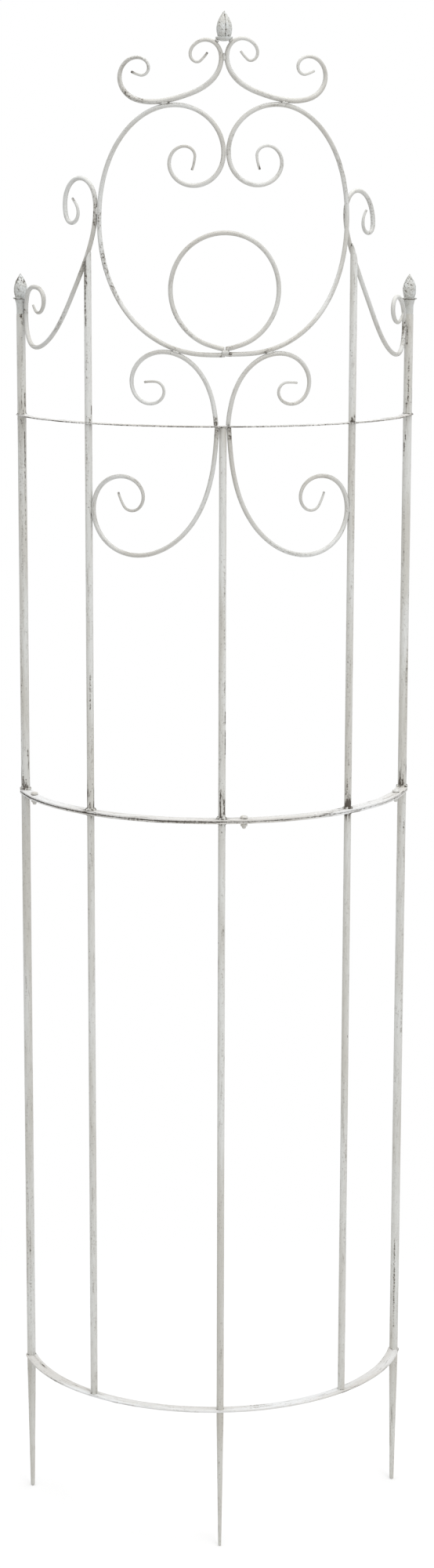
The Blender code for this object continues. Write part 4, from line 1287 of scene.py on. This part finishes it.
# The stored dirt and painted shade, broken by noise: strong parts turn the dark colour of steel, weak parts a
# glaze wash
dirt_and_shade_sum = maths(group, "ADD", given["Grime and shade"], broken)
dirt_and_shade_mask = soft_step(dirt_and_shade_sum, DIRT_AND_SHADE_STEP)
bare_dirt_and_shade = maths(group, "MAXIMUM", dirt_and_shade_mask, maths(group, "MAXIMUM", rub_mask, chip_mask))
smudge_and_shade = times(soft_step(dirt_and_shade_sum, SMUDGE_AND_SHADE_STEP), SMUDGE_AND_SHADE_AMOUNT)
glazed = blend_colours(group, smudge_and_shade, glazed, given["Glaze and shade"])
# The steel colour, flecked with rust, colours both bare steel and the dark painted shade
steel_and_shade = blend_colours(group, soft_step(grain, RUST_STEP), given["Steel and shade"], RUST)
colour = blend_colours(group, times(bare_dirt_and_shade, BARE_DIRT_AND_SHADE_AMOUNT), glazed, steel_and_shade)
roughness = times(bare_dirt_and_shade, 0.16, times(fine, 0.16, 0.46))
height = times(bare_dirt_and_shade, -0.55, times(grain, 0.22, times(rubbed, 0.5)))
feed(group, group.nodes.new("NodeGroupOutput").inputs, colour, roughness, height)
print("nodes in the group:", len(group.nodes))

# %% [markdown]
# ## One paint for each kind of piece
# The pieces share the group and differ in their numbers: the hoops are the palest and cleanest, the scrolls
# are darker and more broken than the posts, the spikes and bolts are streaked more, and the buds are a cool
# grey. Rods and hoops read the place that their sweep stored, and all other pieces read their own object
# coordinates.

# %% Make the paints
# The glaze also tints the weak painted shade, and the steel colours the dark painted shade as well as bare
# metal
GLAZE_AND_SHADE = (0.27, 0.25, 0.215, 1.0)
STEEL_AND_SHADE = (0.030, 0.027, 0.024, 1.0)
RELIEF = 0.0004


def worn_paint(name, paint, streaks, chips, stretch, follows_place, bump=0.35):
    material = bpy.data.materials.new(name)
    material.use_nodes = True
    tree = material.node_tree
    shader = tree.nodes["Principled BSDF"]
    finish = put(tree, "ShaderNodeGroup", node_tree=group)
    if follows_place:
        place = put(tree, "ShaderNodeAttribute", attribute_name="place").outputs["Vector"]
    else:
        place = put(tree, "ShaderNodeTexCoord").outputs["Object"]
    wear = put(tree, "ShaderNodeAttribute", attribute_name="wear").outputs["Fac"]
    # The stored dirt together with the painted shade
    grime_and_shade = put(tree, "ShaderNodeAttribute", attribute_name="grime_and_shade").outputs["Fac"]
    feed(tree, finish.inputs, place, wear, (*paint, 1.0), GLAZE_AND_SHADE, STEEL_AND_SHADE, streaks, chips, stretch, grime_and_shade)
    relief = put(tree, "ShaderNodeBump", Strength=bump, Distance=RELIEF)
    feed(tree, [relief.inputs["Height"]], finish.outputs["Height"])
    taken = [shader.inputs[name] for name in ("Base Color", "Roughness", "Normal", "Specular IOR Level")]
    feed(tree, taken, finish.outputs["Colour"], finish.outputs["Roughness"], relief.outputs["Normal"], 0.4)
    return material


paints = {
    # Paint, streaks, chips, stretch, whether it reads the stored place, relief
    "post_paint": worn_paint("post_white", (0.665, 0.665, 0.640), 0.26, 0.10, 0.10, False),
    "scroll_paint": worn_paint("scroll_white", (0.625, 0.625, 0.605), 0.34, 0.25, 0.12, True),
    "hoop_paint": worn_paint("hoop_white", (0.750, 0.750, 0.745), 0.20, 0.00, 0.10, True),
    "spike_paint": worn_paint("spike_white", (0.640, 0.635, 0.600), 0.28, 0.05, 0.10, False),
    "bud_paint": worn_paint("bud_grey", (0.625, 0.640, 0.630), 0.30, 0.15, 1.0, False, 0.6),
    "bolt_paint": worn_paint("bolt_white", (0.670, 0.665, 0.640), 0.36, 0.20, 1.0, False, 0.6),
}
for piece, slot, node in pieces:
    piece.data.materials.append(paints[slot])
print("paints:", ", ".join(sorted(paints)))

# %% [markdown]
# ## The floor and the white surround
# A plain pale floor carries the shadow of the spikes. Further out it has to reach the same white as the
# world behind it, so that no horizon shows. Only what the camera and shiny surfaces see is whitened: the
# light that the trellis receives stays the same.

# %% Lay the floor
FLOOR_RADIUS = 40.0
WHITE = (1.0, 1.0, 1.0, 1.0)
LIFT = 0.22
FADE_START = 0.35
FADE_END = 1.1
FLOOR_GREY = (0.80, 0.80, 0.80, 1.0)


def seen_by_eye(tree):
    """1 for rays that the camera or a reflection sends, and 0 for light on surfaces."""
    path = put(tree, "ShaderNodeLightPath")
    shiny = maths(tree, "MAXIMUM", path.outputs["Is Glossy Ray"], path.outputs["Is Transmission Ray"])
    return maths(tree, "MAXIMUM", path.outputs["Is Camera Ray"], shiny)


def joined(tree, kind, *values):
    """A node that joins shaders, with its inputs filled in their order."""
    node = put(tree, kind)
    feed(tree, node.inputs, *values)
    return node.outputs[0]


floor_shape = bmesh.new()
bmesh.ops.create_circle(floor_shape, cap_ends=True, segments=96, radius=FLOOR_RADIUS)
floor_mesh = bpy.data.meshes.new("floor")
floor_shape.to_mesh(floor_mesh)
floor_shape.free()
floor = bpy.data.objects.new("floor", floor_mesh)
bpy.context.scene.collection.objects.link(floor)

floor_material = bpy.data.materials.new("floor_white")
floor_material.use_nodes = True
tree = floor_material.node_tree
matt = tree.nodes["Principled BSDF"]
matt.inputs["Base Color"].default_value = FLOOR_GREY
matt.inputs["Roughness"].default_value = 0.9
matt.inputs["Specular IOR Level"].default_value = 0.0
lift = put(tree, "ShaderNodeEmission", Strength=LIFT)
white = put(tree, "ShaderNodeEmission", Strength=1.0)
lifted = joined(tree, "ShaderNodeAddShader", matt.outputs[0], lift.outputs[0])
distance = put(tree, "ShaderNodeVectorMath", operation="LENGTH")
feed(tree, distance.inputs, put(tree, "ShaderNodeTexCoord").outputs["Object"])
far = step_between(tree, distance.outputs["Value"], FADE_START, FADE_END)
near_eye = seen_by_eye(tree)
ground_look = joined(tree, "ShaderNodeMixShader", near_eye, matt.outputs[0], lifted)
far_seen = maths(tree, "MULTIPLY", far, near_eye)
faded = joined(tree, "ShaderNodeMixShader", far_seen, ground_look, white.outputs[0])
feed(tree, tree.nodes["Material Output"].inputs, faded)
floor_mesh.materials.append(floor_material)
print("floor radius", FLOOR_RADIUS, "m")

# %% [markdown]
# ## Soft studio light
# The photograph is evenly lit: tops of the flat bars are nearly white, upright bars a light grey, and the
# left flank of each post a little darker than the right. A bright world does most of it. One large lamp
# overhead lifts the tops, and a second one in front and to the right shapes the rods.

# %% Light the scene
WORLD_LIGHT = 0.64
LIT_POINT = Vector((0.0, 0.0, 1.0))

world = bpy.data.worlds.new("studio")
bpy.context.scene.world = world
world.use_nodes = True
tree = world.node_tree
light = tree.nodes["Background"]
light.inputs["Color"].default_value = WHITE
light.inputs["Strength"].default_value = WORLD_LIGHT
backdrop = put(tree, "ShaderNodeBackground", Color=WHITE, Strength=1.0)
chosen = joined(tree, "ShaderNodeMixShader", seen_by_eye(tree), light.outputs[0], backdrop.outputs[0])
feed(tree, tree.nodes["World Output"].inputs, chosen)


def soft_lamp(name, place, size, power):
    """A square lamp that faces the middle of the trellis."""
    data = bpy.data.lights.new(name, "AREA")
    data.shape = "SQUARE"
    data.size = size
    data.energy = power
    lamp = bpy.data.objects.new(name, data)
    lamp.location = place
    lamp.rotation_euler = (LIT_POINT - Vector(place)).to_track_quat("-Z", "Y").to_euler()
    bpy.context.scene.collection.objects.link(lamp)
    return lamp


soft_lamp("overhead", place=(0.1, -0.2, 4.4), size=2.4, power=72.0)
soft_lamp("front_right", place=(1.7, -3.2, 2.6), size=1.8, power=34.0)
print("lamps: overhead, front_right")

# %% [markdown]
# ## The camera
# The photograph was taken from a little above the top of the scrolls, slightly left of the middle, looking
# down by about eleven degrees. The long side of the picture is upright, so the lens is given for a 36 mm
# long side.

# %% Set the camera
DOWN = math.radians(11.41)
TO_THE_RIGHT = math.radians(2.78)
TILT = math.radians(0.15)
camera_data = bpy.data.cameras.new("camera")
camera_data.sensor_fit = "AUTO"
camera_data.sensor_width = 36.0
camera_data.lens = 68.56
camera_data.clip_end = 200.0
camera = bpy.data.objects.new("camera", camera_data)
camera.location = (-0.1729, -3.5344, 1.6597)
aim = Matrix.Rotation(-TO_THE_RIGHT, 3, "Z") @ Matrix.Rotation(math.pi / 2 - DOWN, 3, "X")
camera.rotation_euler = (aim @ Matrix.Rotation(TILT, 3, "Z")).to_euler()
bpy.context.scene.collection.objects.link(camera)
bpy.context.scene.camera = camera
bpy.context.scene.view_settings.view_transform = "Standard"
print("camera at", tuple(camera.location))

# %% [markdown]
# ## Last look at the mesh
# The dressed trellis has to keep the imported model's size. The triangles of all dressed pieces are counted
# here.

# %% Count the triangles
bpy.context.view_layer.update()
triangles = sum(len(face.vertices) - 2 for piece, slot, node in pieces for face in piece.data.polygons)
print("triangles:", triangles)
